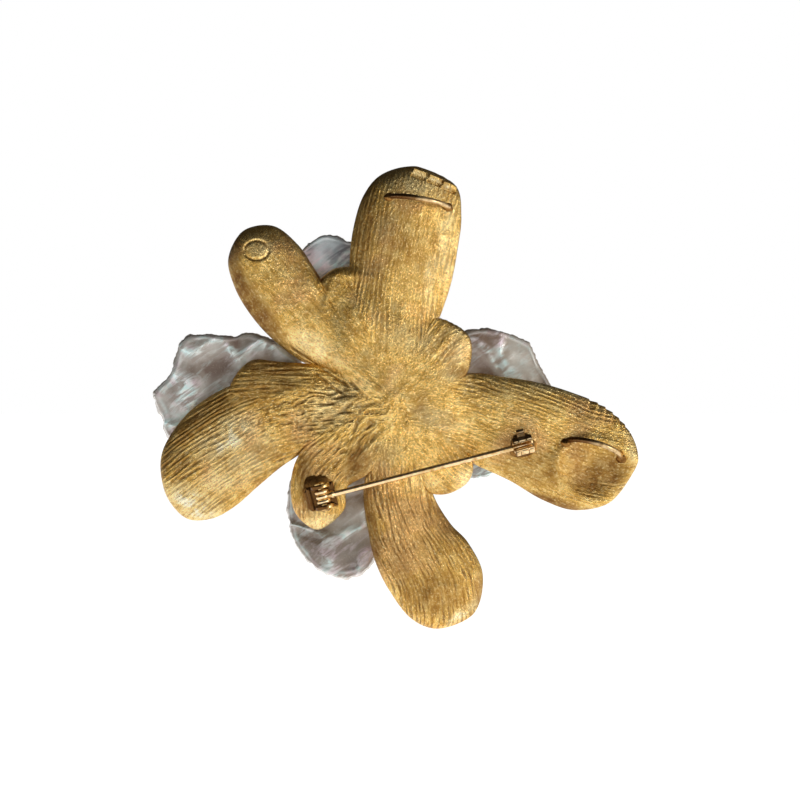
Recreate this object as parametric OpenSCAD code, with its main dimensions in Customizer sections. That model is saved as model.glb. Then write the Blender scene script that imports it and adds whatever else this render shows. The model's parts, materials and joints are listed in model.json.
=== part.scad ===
// Five-petal flower brooch of cast gilt metal with baroque pearls, worn upright.
// The plan below is drawn as seen from the back: X right, Y up, Z out of the back.
// worn() then stands the brooch up: its back faces -Y, its top petal points to +Z,
// and the origin is the middle of the pin stem, where the cloth holds it.

/* [Petals] */
// Wall thickness of the cast petals
petal_wall = 1.5; // [1.2:0.1:1.8]
// How far a petal's edges roll forward from its back surface
petal_roll = 2.2; // [1.6:0.1:2.4]
// Wall thickness of the pearl seats
seat_wall = 1.3; // [1:0.1:1.5]

/* [Hub] */
// Radius of the plate that joins the petals
hub_r = 10.4; // [9.5:0.1:10.8]
// Level of the hub's front face, below the back surface
hub_front = -3.2; // [-3.4:0.1:-3]

/* [Pearls] */
// Level of the pearls' middle
pearl_level = -7.4; // [-7.8:0.1:-7.2]
// Half thickness of the large pearls
pearl_half = 2.9; // [2.4:0.1:3]
// Radius of the pegs that the pearls are glued to
peg_r = 0.45; // [0.35:0.05:0.6]

/* [Front centre] */
// Radius of the button pearl
button_r = 5.2; // [4.4:0.1:5.4]
// Number of ball-tipped stamens
stamen_count = 10; // [6:1:12]

/* [Pin] */
// Angle of the pin stem above the horizontal
stem_angle = 14.4; // [10:0.2:18]
// Height of the stem's axis above the back surface
stem_lift = 2.5; // [2.4:0.1:3]
// Radius of the pin wire
stem_r = 0.5; // [0.4:0.05:0.5]
// Distance from the hinge rivet to the middle of the catch
catch_at = 37.1; // [36:0.1:38]

/* [Bails] */
// Radius of the bail loops' wire
bail_r = 0.5; // [0.4:0.05:0.6]
// Height of the loops' middle line above the petals
bail_height = 3.9; // [3:0.1:4.4]

/* [Hidden] */

$fn = 48;
gold = "#c9a24b";
dark_gold = "#8f6a26";
nacre = "#b8aeb0";

// Meshes of the cast shapes
petal_rows = 12;
petal_cols = 8;
seat_rows = 6;
seat_cols = 6;
pearl_sides = 26;
pearl_rings = 4;

// Pearls: how full their edges are, and the height and number of the waves round their faces
pearl_fullness = 0.8;
pearl_wave = 0.1;
pearl_wave_turns = 3;

// How a casting rolls forward: flat in the middle, steeper near its sides and its tip
tip_roll_start = 0.72;
tip_roll_power = 2.6;
side_roll_power = 2.3;
// Share of the wall that is lost at the edge
edge_thinning = 0.3;

// Pin layout: the rivet's place in the plan, and the mount in the middle of the wire
rivet_at = [-12.6, -17.95];
wire_start = 2.2;
wire_end = 35;
stem_mid = (wire_start + wire_end) / 2;
stem_way = [cos(stem_angle), sin(stem_angle)];
origin_plan = [for (i = [0, 1]) rivet_at[i] + stem_way[i] * stem_mid];

// Outlines of the castings: [left edge, right edge], from root to tip, which ends both edges.
// Left is the side on the left hand when looking from the root to the tip.
top_left = [
    [-3, 4.6], [-5.4, 10], [-7.4, 17], [-7.9, 24],
    [-7.2, 30.6], [-5.6, 36.4], [-2.6, 40.2], [1.4, 41.9]
];
top_right = [
    [3.3, 4.3], [6.2, 9], [8.5, 14.4], [10.5, 20.4],
    [11.7, 26.6], [12.3, 32.2], [10.6, 38.2], [1.4, 41.9]
];
ul_left = [
    [-5.7, 1.3], [-11, 3.7], [-17, 6.6], [-22.3, 10.8],
    [-26.1, 15.2], [-28.8, 20], [-29.9, 25.2], [-27.2, 30.1]
];
ul_right = [
    [-3.3, 4.8], [-6.5, 9.6], [-9.2, 14.5], [-11.7, 19],
    [-14.3, 23.3], [-17.3, 27.6], [-21.8, 31], [-27.2, 30.1]
];
left_left = [
    [-6, -5.3], [-12, -8.4], [-18.7, -11.7], [-24, -15.9],
    [-28.6, -19.9], [-33, -22.2], [-37.6, -21.8], [-41.2, -17.2]
];
left_right = [
    [-6.8, 0.7], [-12.4, 2.4], [-19, 3.6], [-26, 3],
    [-32.3, 0.6], [-37.5, -4], [-41.3, -9.8], [-41.2, -17.2]
];
bottom_left = [
    [4.6, -7.8], [6.2, -12.6], [7.5, -18.2], [10.4, -23],
    [13.7, -26.6], [16.1, -31.6], [15.5, -38], [9, -42.1]
];
bottom_right = [
    [-3, -7.4], [-4.7, -12], [-5.4, -18], [-4.5, -24.6],
    [-3.2, -30], [-0.5, -35], [3.2, -39.6], [9, -42.1]
];
right_left = [
    [7.5, 3], [13.4, 4.2], [19.6, 3.6], [26, 2.6],
    [32.4, 0.7], [38.4, -1.9], [42.7, -6.2], [44.2, -12]
];
right_right = [
    [6, -8.4], [10.6, -10.3], [15.8, -12.8], [21.2, -15.3],
    [27.2, -18.8], [33.2, -20.6], [39.8, -18.8], [44.2, -12]
];

seat_ul_left = [[-5.6, 8.1], [-9.4, 14.7], [-12, 19.2], [-12.8, 21.6], [-10.2, 23.4]];
seat_ul_right = [[-4.4, 8.5], [-6.5, 16], [-7.4, 20], [-7.8, 22.7], [-10.2, 23.4]];
seat_l_left = [[-8.4, 1.7], [-14, 3.1], [-20, 4], [-26.4, 3.3], [-29.4, 2.6]];
seat_l_right = [[-8.9, 2.4], [-14.6, 5.2], [-20.4, 6.2], [-26, 6.2], [-29.4, 2.6]];
seat_b_left = [[-4.4, -8.4], [-5.6, -13], [-8.2, -16.4], [-9.6, -20.4], [-14, -24.2]];
seat_b_right = [[-6.6, -6.6], [-12.6, -9.4], [-17.6, -13], [-18.3, -18.8], [-14, -24.2]];
seat_lr_left = [[6.4, -9], [9.6, -10.6], [12.6, -12.2], [14.5, -13.3], [13.6, -15.9]];
seat_lr_right = [[5.6, -9.2], [6.8, -12.6], [7.9, -17.1], [10.8, -17.3], [13.6, -15.9]];
seat_r_left = [[4.4, 5.2], [7.2, 9.6], [8.9, 13.4], [11.4, 12.8], [13.7, 11]];
seat_r_right = [[6.6, 3.4], [10.2, 4.2], [13.3, 5.2], [14.1, 8.2], [13.7, 11]];

// Outlines of the pearls, anticlockwise
pearl_ul = [[-3.8, 22.6], [-5, 27.2], [-8.6, 28.8], [-12.3, 29.7], [-15.6, 28], [-18, 24.6], [-16.6, 19.4],
    [-12.8, 15.8], [-8.6, 15], [-5, 17.8]];
pearl_l = [[-16.4, 5.4], [-20, 9.2], [-25, 11.6], [-30, 11.2], [-35.4, 11.6], [-38.7, 9], [-40.6, 3.4],
    [-44.1, 0.3], [-42, -4.2], [-39.8, -6.8], [-34, -6.2], [-27, -3.6], [-19.6, 0.4]];
pearl_b = [[-3, -18.5], [-6, -12.8], [-11.5, -10.6], [-17, -12], [-19.1, -17.4], [-18.5, -22.5],
    [-16.6, -27.8], [-12.4, -31.8], [-8, -32.9], [-4.2, -30.8], [-2.3, -25]];
pearl_lr = [
    [22, -8], [18, -4.6], [13, -5.4], [9.8, -9.2],
    [9.9, -14], [12.8, -15.4], [18.8, -15.2], [21.9, -12.2]
];
pearl_r = [[29.2, 1.4], [26.8, 6], [24.9, 9.8], [20.6, 11.9], [15.4, 12.6], [11, 10.8], [8.6, 6.6],
    [11, 1.8], [16.5, -2.2], [23.5, -3.6], [28.4, -2]];

// Points on a smooth curve through p: the stretch from p[i] to p[i + 1]
function smooth(p0, p1, p2, p3, t) =
    let (
        straight = (p2 - p0) * t,
        bend = (2 * p0 - 5 * p1 + 4 * p2 - p3) * t * t,
        twist = (3 * p1 - p0 - 3 * p2 + p3) * t * t * t
    )
    (2 * p1 + straight + bend + twist) / 2;
function mix(a, b, t) = a * (1 - t) + b * t;

// An edge's point at u, from 0 at the root to 1 at the tip, where the curve turns towards the other edge
function edge_point(edge, other, u) =
    let (
        last = len(edge) - 1,
        i = min(floor(u * last), last - 1),
        t = u * last - i,
        before = i == 0 ? 2 * edge[0] - edge[1] : edge[i - 1],
        after = i + 2 > last ? other[last - 1] : edge[i + 2]
    )
    smooth(before, edge[i], edge[i + 1], after, t);

function closed_point(outline, u) =
    let (
        n = len(outline),
        i = floor(u * n),
        t = u * n - i
    )
    smooth(outline[(i + n - 1) % n], outline[i % n], outline[(i + 1) % n], outline[(i + 2) % n], t);

// Height of a casting's middle line at u, from its heights at the root, the middle and the tip
function middle_height(levels, u) = mix(mix(levels[0], levels[1], u), mix(levels[1], levels[2], u), u);

// How much of the edge's roll a point has, from 0 on the middle line to 1 at the edge and the tip
function roll_share(u, side) =
    let (towards_tip = max(0, (u - tip_roll_start) / (1 - tip_roll_start)))
    1 - (1 - pow(abs(side), side_roll_power)) * (1 - pow(towards_tip, tip_roll_power));

function casting_point(left, right, levels, roll, u, v) =
    let (
        side = 2 * v - 1,
        plan = mix(edge_point(left, right, u), edge_point(right, left, u), v)
    )
    [plan[0], plan[1], middle_height(levels, u) - roll * roll_share(u, side)];

function lowered(p, by) = [p[0], p[1], p[2] - by];

// A cast shell between two edges, rounded at the tip: back skin, front skin and the rim between them
module casting(left, right, levels, roll, wall, rows, cols) {
    us = [for (k = [0 : rows - 1]) 1 - pow(1 - k / rows, 1.25)];
    vs = [for (j = [0 : cols]) (1 - cos(180 * j / cols)) / 2];
    tip = casting_point(left, right, levels, roll, 1, 0.5);
    back = [for (u = us) for (v = vs) casting_point(left, right, levels, roll, u, v)];
    front = [for (u = us) for (v = vs)
        lowered(
            casting_point(left, right, levels, roll, u, v),
            wall * (1 - edge_thinning * roll_share(u, 2 * v - 1))
        )];
    w = cols + 1;
    n = rows * w + 1;
    tip_back = n - 1;
    tip_front = 2 * n - 1;
    skins = [for (k = [0 : rows - 2]) for (j = [0 : cols - 1])
        let (a = k * w + j, b = a + w, c = b + 1, d = a + 1)
        each [[a, b, c], [a, c, d], [a + n, c + n, b + n], [a + n, d + n, c + n]]];
    last = (rows - 1) * w;
    tips = [for (j = [last : last + cols - 1])
        each [[j, tip_back, j + 1], [j + n, j + 1 + n, tip_front]]];
    sides = [for (k = [0 : rows - 2])
        let (a = k * w, b = a + w, c = a + cols, d = c + w)
        each [[a, a + n, b + n], [a, b + n, b], [c, d + n, c + n], [c, d, d + n]]];
    side_tips = [
        [last, last + n, tip_front], [last, tip_front, tip_back],
        [last + cols, tip_front, last + cols + n], [last + cols, tip_back, tip_front]
    ];
    root = [for (j = [0 : cols - 1]) each [[j, j + 1, j + 1 + n], [j, j + 1 + n, j + n]]];
    front_tip = lowered(tip, wall * (1 - edge_thinning));
    polyhedron(concat(back, [tip], front, [front_tip]), concat(skins, tips, sides, side_tips, root));
}

// A baroque pearl: its outline drawn in towards the middle of each ring, with low waves on its faces
module pearl(outline, middle, half) {
    n = pearl_sides;
    rings = 2 * pearl_rings - 1;
    edge = [for (i = [0 : n - 1]) closed_point(outline, i / n)];
    ring_points = [for (r = [1 : rings]) for (i = [0 : n - 1])
        let (
            fall = 90 * r / pearl_rings,
            plan = mix(middle, edge[i], pow(sin(fall), pearl_fullness)),
            wave = 1 + pearl_wave * sin(fall) * sin(pearl_wave_turns * 360 * i / n + 60)
        )
        [plan[0], plan[1], pearl_level + half * cos(fall) * wave]];
    top = [middle[0], middle[1], pearl_level + half];
    bottom = [middle[0], middle[1], pearl_level - half];
    count = len(ring_points);
    caps = [for (i = [0 : n - 1])
        let (j = (i + 1) % n, low = count - n)
        each [[j, i, count], [low + i, low + j, count + 1]]];
    belts = [for (r = [0 : rings - 2]) for (i = [0 : n - 1])
        let (a = r * n + i, b = r * n + (i + 1) % n)
        each [[a, b, b + n], [a, b + n, a + n]]];
    polyhedron(concat(ring_points, [top, bottom]), concat(caps, belts));
}

module worn() {
    rotate([90, 0, 0])
        translate([-origin_plan[0], -origin_plan[1], -stem_lift])
            children();
}

module at_centre() {
    worn()
        translate([hub_place[0], hub_place[1], 0])
            children();
}

// The pin's own frame: X along the stem from the rivet, Y across it, Z out of the back
module pin_frame() {
    worn()
        translate([rivet_at[0], rivet_at[1], stem_lift])
            rotate([0, 0, stem_angle])
                children();
}

module petal(left, right, levels) {
    color(gold) worn() casting(left, right, levels, petal_roll, petal_wall, petal_rows, petal_cols);
}

module petal_top() { petal(top_left, top_right, [0, 0.7, -0.6]); }
module petal_upper_left() { petal(ul_left, ul_right, [0, 0.7, -1]); }
module petal_left() { petal(left_left, left_right, [0, 0.4, -0.8]); }
module petal_bottom() { petal(bottom_left, bottom_right, [0, 0.2, 0.2]); }
module petal_right() { petal(right_left, right_right, [0, 0.2, 0.2]); }

seat_roll = 0.9;
module seat(left, right, levels) {
    color(dark_gold) worn() casting(left, right, levels, seat_roll, seat_wall, seat_rows, seat_cols);
}

module seat_upper_left() { seat(seat_ul_left, seat_ul_right, [-0.5, -1, -1.8]); }
module seat_left() { seat(seat_l_left, seat_l_right, [-0.5, -1, -1.8]); }
module seat_bottom() { seat(seat_b_left, seat_b_right, [-0.2, 0.4, -0.6]); }
module seat_lower_right() { seat(seat_lr_left, seat_lr_right, [-0.3, -0.6, -0.9]); }
module seat_right() { seat(seat_r_left, seat_r_right, [-0.3, -0.5, -0.9]); }

// Plate behind the petals' roots, with a low dome that fills the middle of the back
hub_place = [0.1, -1.8];
hub_flange_top = -1.2;
hub_bevel = 0.6;
hub_dome = [[7.2, hub_flange_top], [6.6, -0.6], [5.6, -0.1], [4, 0.2], [2, 0.35], [0, 0.4]];
module back_hub() {
    flange = [
        [0, hub_front], [hub_r - hub_bevel, hub_front], [hub_r, hub_front + hub_bevel],
        [hub_r, hub_flange_top - 0.3], [hub_r - 0.4, hub_flange_top]
    ];
    color(gold) at_centre() rotate_extrude() polygon(concat(flange, hub_dome));
}

// Pearl pegs, in the order of the pearls: place in the plan and the seat's front level there
peg_ul = [-10, 20.2];
peg_l = [-20.6, 5.1];
peg_b = [-12.4, -16];
peg_lr = [12, -13.4];
peg_rt = [10.8, 8.4];
peg_top = -1.9;
peg_end = pearl_level + 0.1;
peg_gap = 0.02;

peg_flare = 0.35;
peg_flare_h = 0.6;

module peg(place) {
    length = peg_top - peg_end;
    color(gold) worn() translate([place[0], place[1], peg_end]) {
        cylinder(r = peg_r, h = length);
        translate([0, 0, length - peg_flare_h])
            cylinder(r1 = peg_r, r2 = peg_r + peg_flare, h = peg_flare_h);
    }
}

module drilled_pearl(outline, middle, half, place) {
    color(nacre) worn() difference() {
        pearl(outline, middle, half);
        translate([place[0], place[1], peg_end - 0.1])
            cylinder(r = peg_r + peg_gap, h = 2 * pearl_half + 1);
    }
}

module peg_upper_left() { peg(peg_ul); }
module peg_left() { peg(peg_l); }
module peg_bottom() { peg(peg_b); }
module peg_lower_right() { peg(peg_lr); }
module peg_right() { peg(peg_rt); }

module pearl_upper_left() { drilled_pearl(pearl_ul, [-11, 22.3], pearl_half - 0.3, peg_ul); }
module pearl_left() { drilled_pearl(pearl_l, [-30, 2.8], pearl_half, peg_l); }
module pearl_bottom() { drilled_pearl(pearl_b, [-10.8, -21.4], pearl_half, peg_b); }
module pearl_lower_right() { drilled_pearl(pearl_lr, [15.6, -10.2], pearl_half - 0.5, peg_lr); }
module pearl_right() { drilled_pearl(pearl_r, [19, 4.4], pearl_half, peg_rt); }

// Front centre: a dished cup on the hub, a button pearl on a peg and a ring of stamens
cup_r = 6.6;
cup_wall = 0.7;
cup_rise = 1.6;
cup_foot_r = 3.2;
cup_floor_r = 3.8;
cup_lip = 0.3;
cup_lip_drop = 0.5;
// Share of its radius at which the button pearl is cut flat
button_cut = 0.72;
button_level = hub_front - cup_wall - button_r * button_cut;
module centre_cup() {
    rim = hub_front - cup_rise;
    floor_level = hub_front - cup_wall;
    color(gold) at_centre() difference() {
        rotate_extrude() polygon([
            [0, hub_front], [cup_foot_r, hub_front],
            [cup_r, rim], [cup_r + cup_lip, rim - cup_lip_drop],
            [cup_r - cup_lip, rim - cup_wall], [cup_floor_r, floor_level], [0, floor_level]
        ]);
        translate([0, 0, hub_front - cup_wall - 1]) cylinder(r = peg_r + peg_gap, h = 3);
    }
}

module centre_peg() {
    color(gold) at_centre()
        translate([0, 0, button_level - 0.5])
            cylinder(r = peg_r, h = hub_front - button_level + 0.5);
}

module button_pearl() {
    color("#e9e2d6") at_centre() difference() {
        translate([0, 0, button_level]) intersection() {
            sphere(r = button_r);
            translate([-button_r - 1, -button_r - 1, -button_r - 1])
                cube([2 * button_r + 2, 2 * button_r + 2, button_r * (1 + button_cut) + 1]);
        }
        translate([0, 0, button_level - 0.6]) cylinder(r = peg_r + peg_gap, h = button_r + 2);
    }
}

stamen_ring = 5.9;
stamen_wire_r = 0.32;
stamen_ball_r = 0.85;
stamen_length = 3.4;
stamen_lean = 24;
module stamens() {
    color(gold) at_centre() for (i = [0 : stamen_count - 1])
        rotate([0, 0, 360 * i / stamen_count + 18])
            translate([stamen_ring, 0, hub_front - cup_rise - 0.05])
                rotate([0, 180 - stamen_lean, 0]) {
                    cylinder(r = stamen_wire_r, h = stamen_length, $fn = 24);
                    translate([0, 0, stamen_length]) sphere(r = stamen_ball_r, $fn = 32);
                }
}

// Wire arches soldered to two petals, so that a chain can carry the brooch as a pendant
bail_sink = 0.8;
module bail_loop(from, to, level, lean) {
    span = norm(to - from);
    chord = span / 2;
    rise = bail_height + bail_sink;
    ring = (chord * chord + rise * rise) / (2 * rise);
    half_turn = 90 - atan2(ring - rise, chord);
    middle = (from + to) / 2;
    turn = atan2(to[1] - from[1], to[0] - from[0]);
    color(gold) worn()
        translate([middle[0], middle[1], level - bail_sink])
            rotate([0, 0, turn]) rotate([90 - lean, 0, 0]) translate([0, rise - ring, 0])
                rotate([0, 0, 90 - half_turn]) rotate_extrude(angle = 2 * half_turn)
                    translate([ring, 0]) circle(r = bail_r, $fn = 24);
}

module bail_loop_top() { bail_loop([-0.9, 36], [10.2, 34.1], -1.2, 5); }
module bail_loop_right() { bail_loop([30.9, -8.2], [41.3, -11.3], -0.6, 18); }

// Pin hinge: a U-shaped bracket on the bottom pearl's seat, with a rivet across its ears
ear_inner = 1.5;
ear_wall = 0.75;
ear_r = 1.75;
ear_outer = ear_inner + ear_wall;
base_top = -1.95;
base_bottom = -2.75;
rivet_r = 0.5;

// The base's straight part, from behind the ears to in front of them, and its round part
base_back = -2.6;
base_length = 5;
base_round_r = 2.55;
base_round_at = -0.6;
back_wall = 0.7;
back_wall_h = 2.4;

module ear_outline() {
    circle(r = ear_r);
    translate([-ear_r, base_top - 0.1]) square([2 * ear_r, -base_top + 0.1]);
}

module hinge_bracket() {
    color(gold) pin_frame() difference() {
        union() {
            translate([0, 0, base_bottom]) linear_extrude(base_top - base_bottom) union() {
                translate([base_back, -ear_outer]) square([base_length, 2 * ear_outer]);
                translate([base_round_at, 0]) circle(r = base_round_r);
            }
            for (side = [-1, 1])
                translate([0, side * (ear_inner + ear_wall / 2) + ear_wall / 2, 0])
                    rotate([90, 0, 0]) linear_extrude(ear_wall) ear_outline();
            translate([base_back, -ear_outer, base_bottom]) cube([back_wall, 2 * ear_outer, back_wall_h]);
        }
        translate([0, 5, 0]) rotate([90, 0, 0]) cylinder(r = rivet_r, h = 10);
    }
}

module hinge_rivet() {
    head_r = 0.95;
    head = 0.4;
    color(dark_gold) pin_frame() rotate([90, 0, 0]) rotate_extrude() polygon([
        [0, -ear_outer - head], [head_r * 0.6, -ear_outer - head], [head_r, -ear_outer - head * 0.4],
        [head_r, -ear_outer], [rivet_r, -ear_outer], [rivet_r, ear_outer], [head_r, ear_outer],
        [head_r, ear_outer + head * 0.4], [head_r * 0.6, ear_outer + head], [0, ear_outer + head]
    ]);
}

// Pin stem: three close coils round the rivet, a short shoulder, the wire and its drawn-out point
knuckle_r = 1.3;
knuckle_bore = rivet_r + 0.05;
knuckle_half = ear_inner - 0.15;
coil_r = 0.47;
shoulder_r = stem_r + 0.2;
shoulder_taper = 0.3;
point_end = 38.7;
point_r = 0.08;
module pin_stem() {
    coil_at = knuckle_half - coil_r;
    color(gold) pin_frame() difference() {
        union() {
            rotate([90, 0, 0]) rotate_extrude() {
                for (turn = [-1 : 1])
                    translate([knuckle_r - coil_r, turn * coil_at])
                        circle(r = coil_r, $fn = 24);
                translate([rivet_r, -knuckle_half])
                    square([knuckle_r - coil_r - rivet_r, 2 * knuckle_half]);
            }
            rotate([0, 90, 0]) {
                cylinder(r = shoulder_r, h = wire_start - shoulder_taper);
                translate([0, 0, wire_start - shoulder_taper])
                    cylinder(r1 = shoulder_r, r2 = stem_r, h = shoulder_taper);
                translate([0, 0, wire_start])
                    cylinder(r = stem_r, h = wire_end - wire_start);
                translate([0, 0, wire_end])
                    cylinder(r1 = stem_r, r2 = point_r, h = point_end - wire_end);
            }
        }
        translate([0, 5, 0]) rotate([90, 0, 0]) cylinder(r = knuckle_bore, h = 10);
    }
}

// Safety catch: two slotted end rings on a foot, and a turning sleeve with a thumb tab between them
catch_half = 1.75;
ring_width = 1;
ring_r = 1.7;
ring_bore = 1.2;
sleeve_r = ring_bore - 0.05;
sleeve_bore = 0.72;
band_r = 1.6;
slot_half = 0.6;
catch_foot_r = 2.1;
catch_foot_h = 0.6;
housing_bar_half = 1;
housing_bar_h = 0.8;
housing_web_bottom = -2.3;
housing_web_h = 1.2;
end_play = 0.05;
sleeve_proud = 0.1;
tab_start = 1;
tab_end = 2.5;
tab_half = 0.35;
tab_tip_r = 0.45;
through = 6;

module catch_frame() {
    pin_frame()
        translate([catch_at, 0, 0])
            rotate([0, 90, 0]) rotate([0, 0, 90])
                children();
}

// The slot that the pin swings out of, as wide in the housing as in the sleeve
module catch_slot() {
    translate([-slot_half, 0, -through / 2]) cube([2 * slot_half, 3, through]);
}

// In the catch's frame X is across the pin, Y is out of the back and Z is along the pin
module catch_housing() {
    color(dark_gold) catch_frame() difference() {
        union() {
            for (end = [-catch_half, catch_half - ring_width]) translate([0, 0, end]) {
                cylinder(r = ring_r, h = ring_width);
                translate([-housing_bar_half, housing_web_bottom, 0])
                    cube([2 * housing_bar_half, housing_web_h, ring_width]);
            }
            translate([-housing_bar_half, base_bottom, -catch_half])
                cube([2 * housing_bar_half, housing_bar_h, 2 * catch_half]);
            translate([0, base_bottom, 0]) rotate([-90, 0, 0])
                cylinder(r = catch_foot_r, h = catch_foot_h);
        }
        translate([0, 0, -through / 2]) cylinder(r = ring_bore, h = through);
        catch_slot();
    }
}

module catch_sleeve() {
    band_half = catch_half - ring_width - end_play;
    sleeve_half = catch_half + sleeve_proud;
    color(gold) catch_frame() difference() {
        union() {
            translate([0, 0, -sleeve_half]) cylinder(r = sleeve_r, h = 2 * sleeve_half);
            translate([0, 0, -band_half]) cylinder(r = band_r, h = 2 * band_half);
            translate([0, 0, -band_half]) linear_extrude(2 * band_half) {
                translate([tab_start, -tab_half]) square([tab_end - tab_start, 2 * tab_half]);
                translate([tab_end, 0]) circle(r = tab_tip_r, $fn = 24);
            }
        }
        translate([0, 0, -through / 2]) cylinder(r = sleeve_bore, h = through);
        catch_slot();
    }
}

back_hub();
petal_top();
petal_upper_left();
petal_left();
petal_bottom();
petal_right();
seat_upper_left();
seat_left();
seat_bottom();
seat_lower_right();
seat_right();
pearl_upper_left();
pearl_left();
pearl_bottom();
pearl_lower_right();
pearl_right();
peg_upper_left();
peg_left();
peg_bottom();
peg_lower_right();
peg_right();
centre_cup();
centre_peg();
button_pearl();
stamens();
bail_loop_top();
bail_loop_right();
hinge_bracket();
hinge_rivet();
pin_stem();
catch_housing();
catch_sleeve();
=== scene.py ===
"""A five-petal gilt flower brooch with baroque pearls, seen from the back as in the reference view.

Shapes are drawn in a plan in millimetres, as the back is seen: X right, Y up, Z out of the back.
to_frame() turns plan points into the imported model's frame.
"""

import json
import math

import bpy
import numpy as np
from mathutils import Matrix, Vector


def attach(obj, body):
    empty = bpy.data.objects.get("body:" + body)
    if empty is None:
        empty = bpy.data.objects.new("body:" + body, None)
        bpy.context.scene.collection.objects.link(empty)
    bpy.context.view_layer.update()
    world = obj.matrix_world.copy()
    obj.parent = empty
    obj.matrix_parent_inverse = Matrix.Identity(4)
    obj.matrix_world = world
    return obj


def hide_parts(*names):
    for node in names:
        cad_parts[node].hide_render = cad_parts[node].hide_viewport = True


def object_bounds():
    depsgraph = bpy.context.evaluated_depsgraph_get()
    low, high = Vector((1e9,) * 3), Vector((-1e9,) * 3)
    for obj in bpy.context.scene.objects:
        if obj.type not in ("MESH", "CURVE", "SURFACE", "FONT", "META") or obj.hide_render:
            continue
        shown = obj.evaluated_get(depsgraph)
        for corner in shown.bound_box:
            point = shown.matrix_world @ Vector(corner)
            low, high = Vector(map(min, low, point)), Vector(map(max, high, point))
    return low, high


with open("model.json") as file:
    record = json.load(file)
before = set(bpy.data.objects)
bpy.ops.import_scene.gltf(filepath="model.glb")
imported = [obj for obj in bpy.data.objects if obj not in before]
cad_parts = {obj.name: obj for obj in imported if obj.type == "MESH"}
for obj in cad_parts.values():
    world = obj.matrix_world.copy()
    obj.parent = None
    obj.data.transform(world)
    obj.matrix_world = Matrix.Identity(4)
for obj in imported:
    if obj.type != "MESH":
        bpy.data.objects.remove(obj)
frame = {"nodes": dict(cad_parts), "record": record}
cad_low, cad_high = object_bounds()

MM = 0.001
RIVET_PLAN = (-12.6, -17.95, 2.5)
JOINTS = {joint["name"]: joint for joint in frame["record"]["behaviour"]["joints"]}
RIVET = JOINTS["pin_swing"]["pos_m"]


def to_frame(points):
    """Plan points in millimetres to the model's frame in metres."""
    p = np.asarray(points, dtype=float)
    x = (p[..., 0] - RIVET_PLAN[0]) * MM + RIVET[0]
    y = -(p[..., 2] - RIVET_PLAN[2]) * MM + RIVET[1]
    z = (p[..., 1] - RIVET_PLAN[1]) * MM + RIVET[2]
    return np.stack([x, y, z], axis=-1)


# --- Camera -------------------------------------------------------------------------------------
VIEW_CENTRE = (1.26, -0.63, 0.0)  # the middle of the view, in the plan
VIEW_WIDTH = 0.144
LENS = 100.0
SENSOR = 36.0


def make_camera():
    data = bpy.data.cameras.new("camera")
    data.lens = LENS
    data.sensor_width = SENSOR
    data.clip_start = 0.01
    data.clip_end = 20
    camera = bpy.data.objects.new("camera", data)
    camera.location = Vector(to_frame(VIEW_CENTRE)) + Vector((0, -VIEW_WIDTH * LENS / SENSOR, 0))
    camera.rotation_euler = (math.pi / 2, 0, 0)
    bpy.context.scene.collection.objects.link(camera)
    bpy.context.scene.camera = camera


make_camera()


# --- Noise --------------------------------------------------------------------------------------
def scramble(cell, seed):
    """A repeatable pseudo-random number from 0 to 1 for each lattice cell."""
    h = cell[..., 0] * 73856093 ^ cell[..., 1] * 19349663 ^ cell[..., 2] * 83492791 ^ seed * 2654435
    h = (h ^ (h >> 13)) * 1274126177
    h = (h ^ (h >> 16)) & 0xFFFFFF
    return h / 0xFFFFFF


def noise(p, seed):
    """Smooth gradient noise, about -1 to 1, with one cell to the unit."""
    cell = np.floor(p).astype(np.int64)
    f = p - cell
    w = f * f * f * (f * (f * 6 - 15) + 10)
    total = np.zeros(p.shape[:-1])
    for corner in np.ndindex(2, 2, 2):
        step = np.array(corner)
        turn = scramble(cell + step, seed) * 2 * math.pi
        lift = scramble(cell + step, seed + 7) * 2 - 1
        flat = np.sqrt(1 - lift * lift)
        g = np.stack([np.cos(turn) * flat, np.sin(turn) * flat, lift], axis=-1)
        weight = np.prod(np.where(step, w, 1 - w), axis=-1)
        total += weight * np.sum(g * (f - step), axis=-1)
    return total * 1.6


def rough(p, seed, octaves):
    """Noise at several scales, each half the size and half the strength of the one before."""
    return sum(noise(p * 2**i, seed + i) / 2**i for i in range(octaves))


def ridged(p, seed):
    """Sharp-crested noise at two scales, 0 in the valleys and 0.86 on the crests."""
    return sum((1 - np.abs(noise(p * 2**i, seed + i))) ** 2 / 2**i for i in range(2)) / 1.75


def xyz(x, y, z=0.0):
    """Places, from their coordinates."""
    return np.stack(np.broadcast_arrays(x, y, z), axis=-1)


def on_plan(plan, z=0.0, scale=1.0):
    """Places over the plan, at a scale, with their third coordinate."""
    return xyz(plan[..., 0] * scale, plan[..., 1] * scale, z)


def turned(x, y, degrees):
    """How far along and across a direction in the plan places are."""
    c, s = math.cos(math.radians(degrees)), math.sin(math.radians(degrees))
    return x * c + y * s, y * c - x * s


def smoothstep(low, high, x):
    """0 at low and 1 at high, smooth between them."""
    t = np.clip((x - low) / (high - low), 0, 1)
    return t * t * (3 - 2 * t)


def bump_at(x, middle, width):
    """1 at the middle, falling smoothly to nothing about two widths away."""
    return np.exp(-(((x - middle) / width) ** 2))


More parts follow.
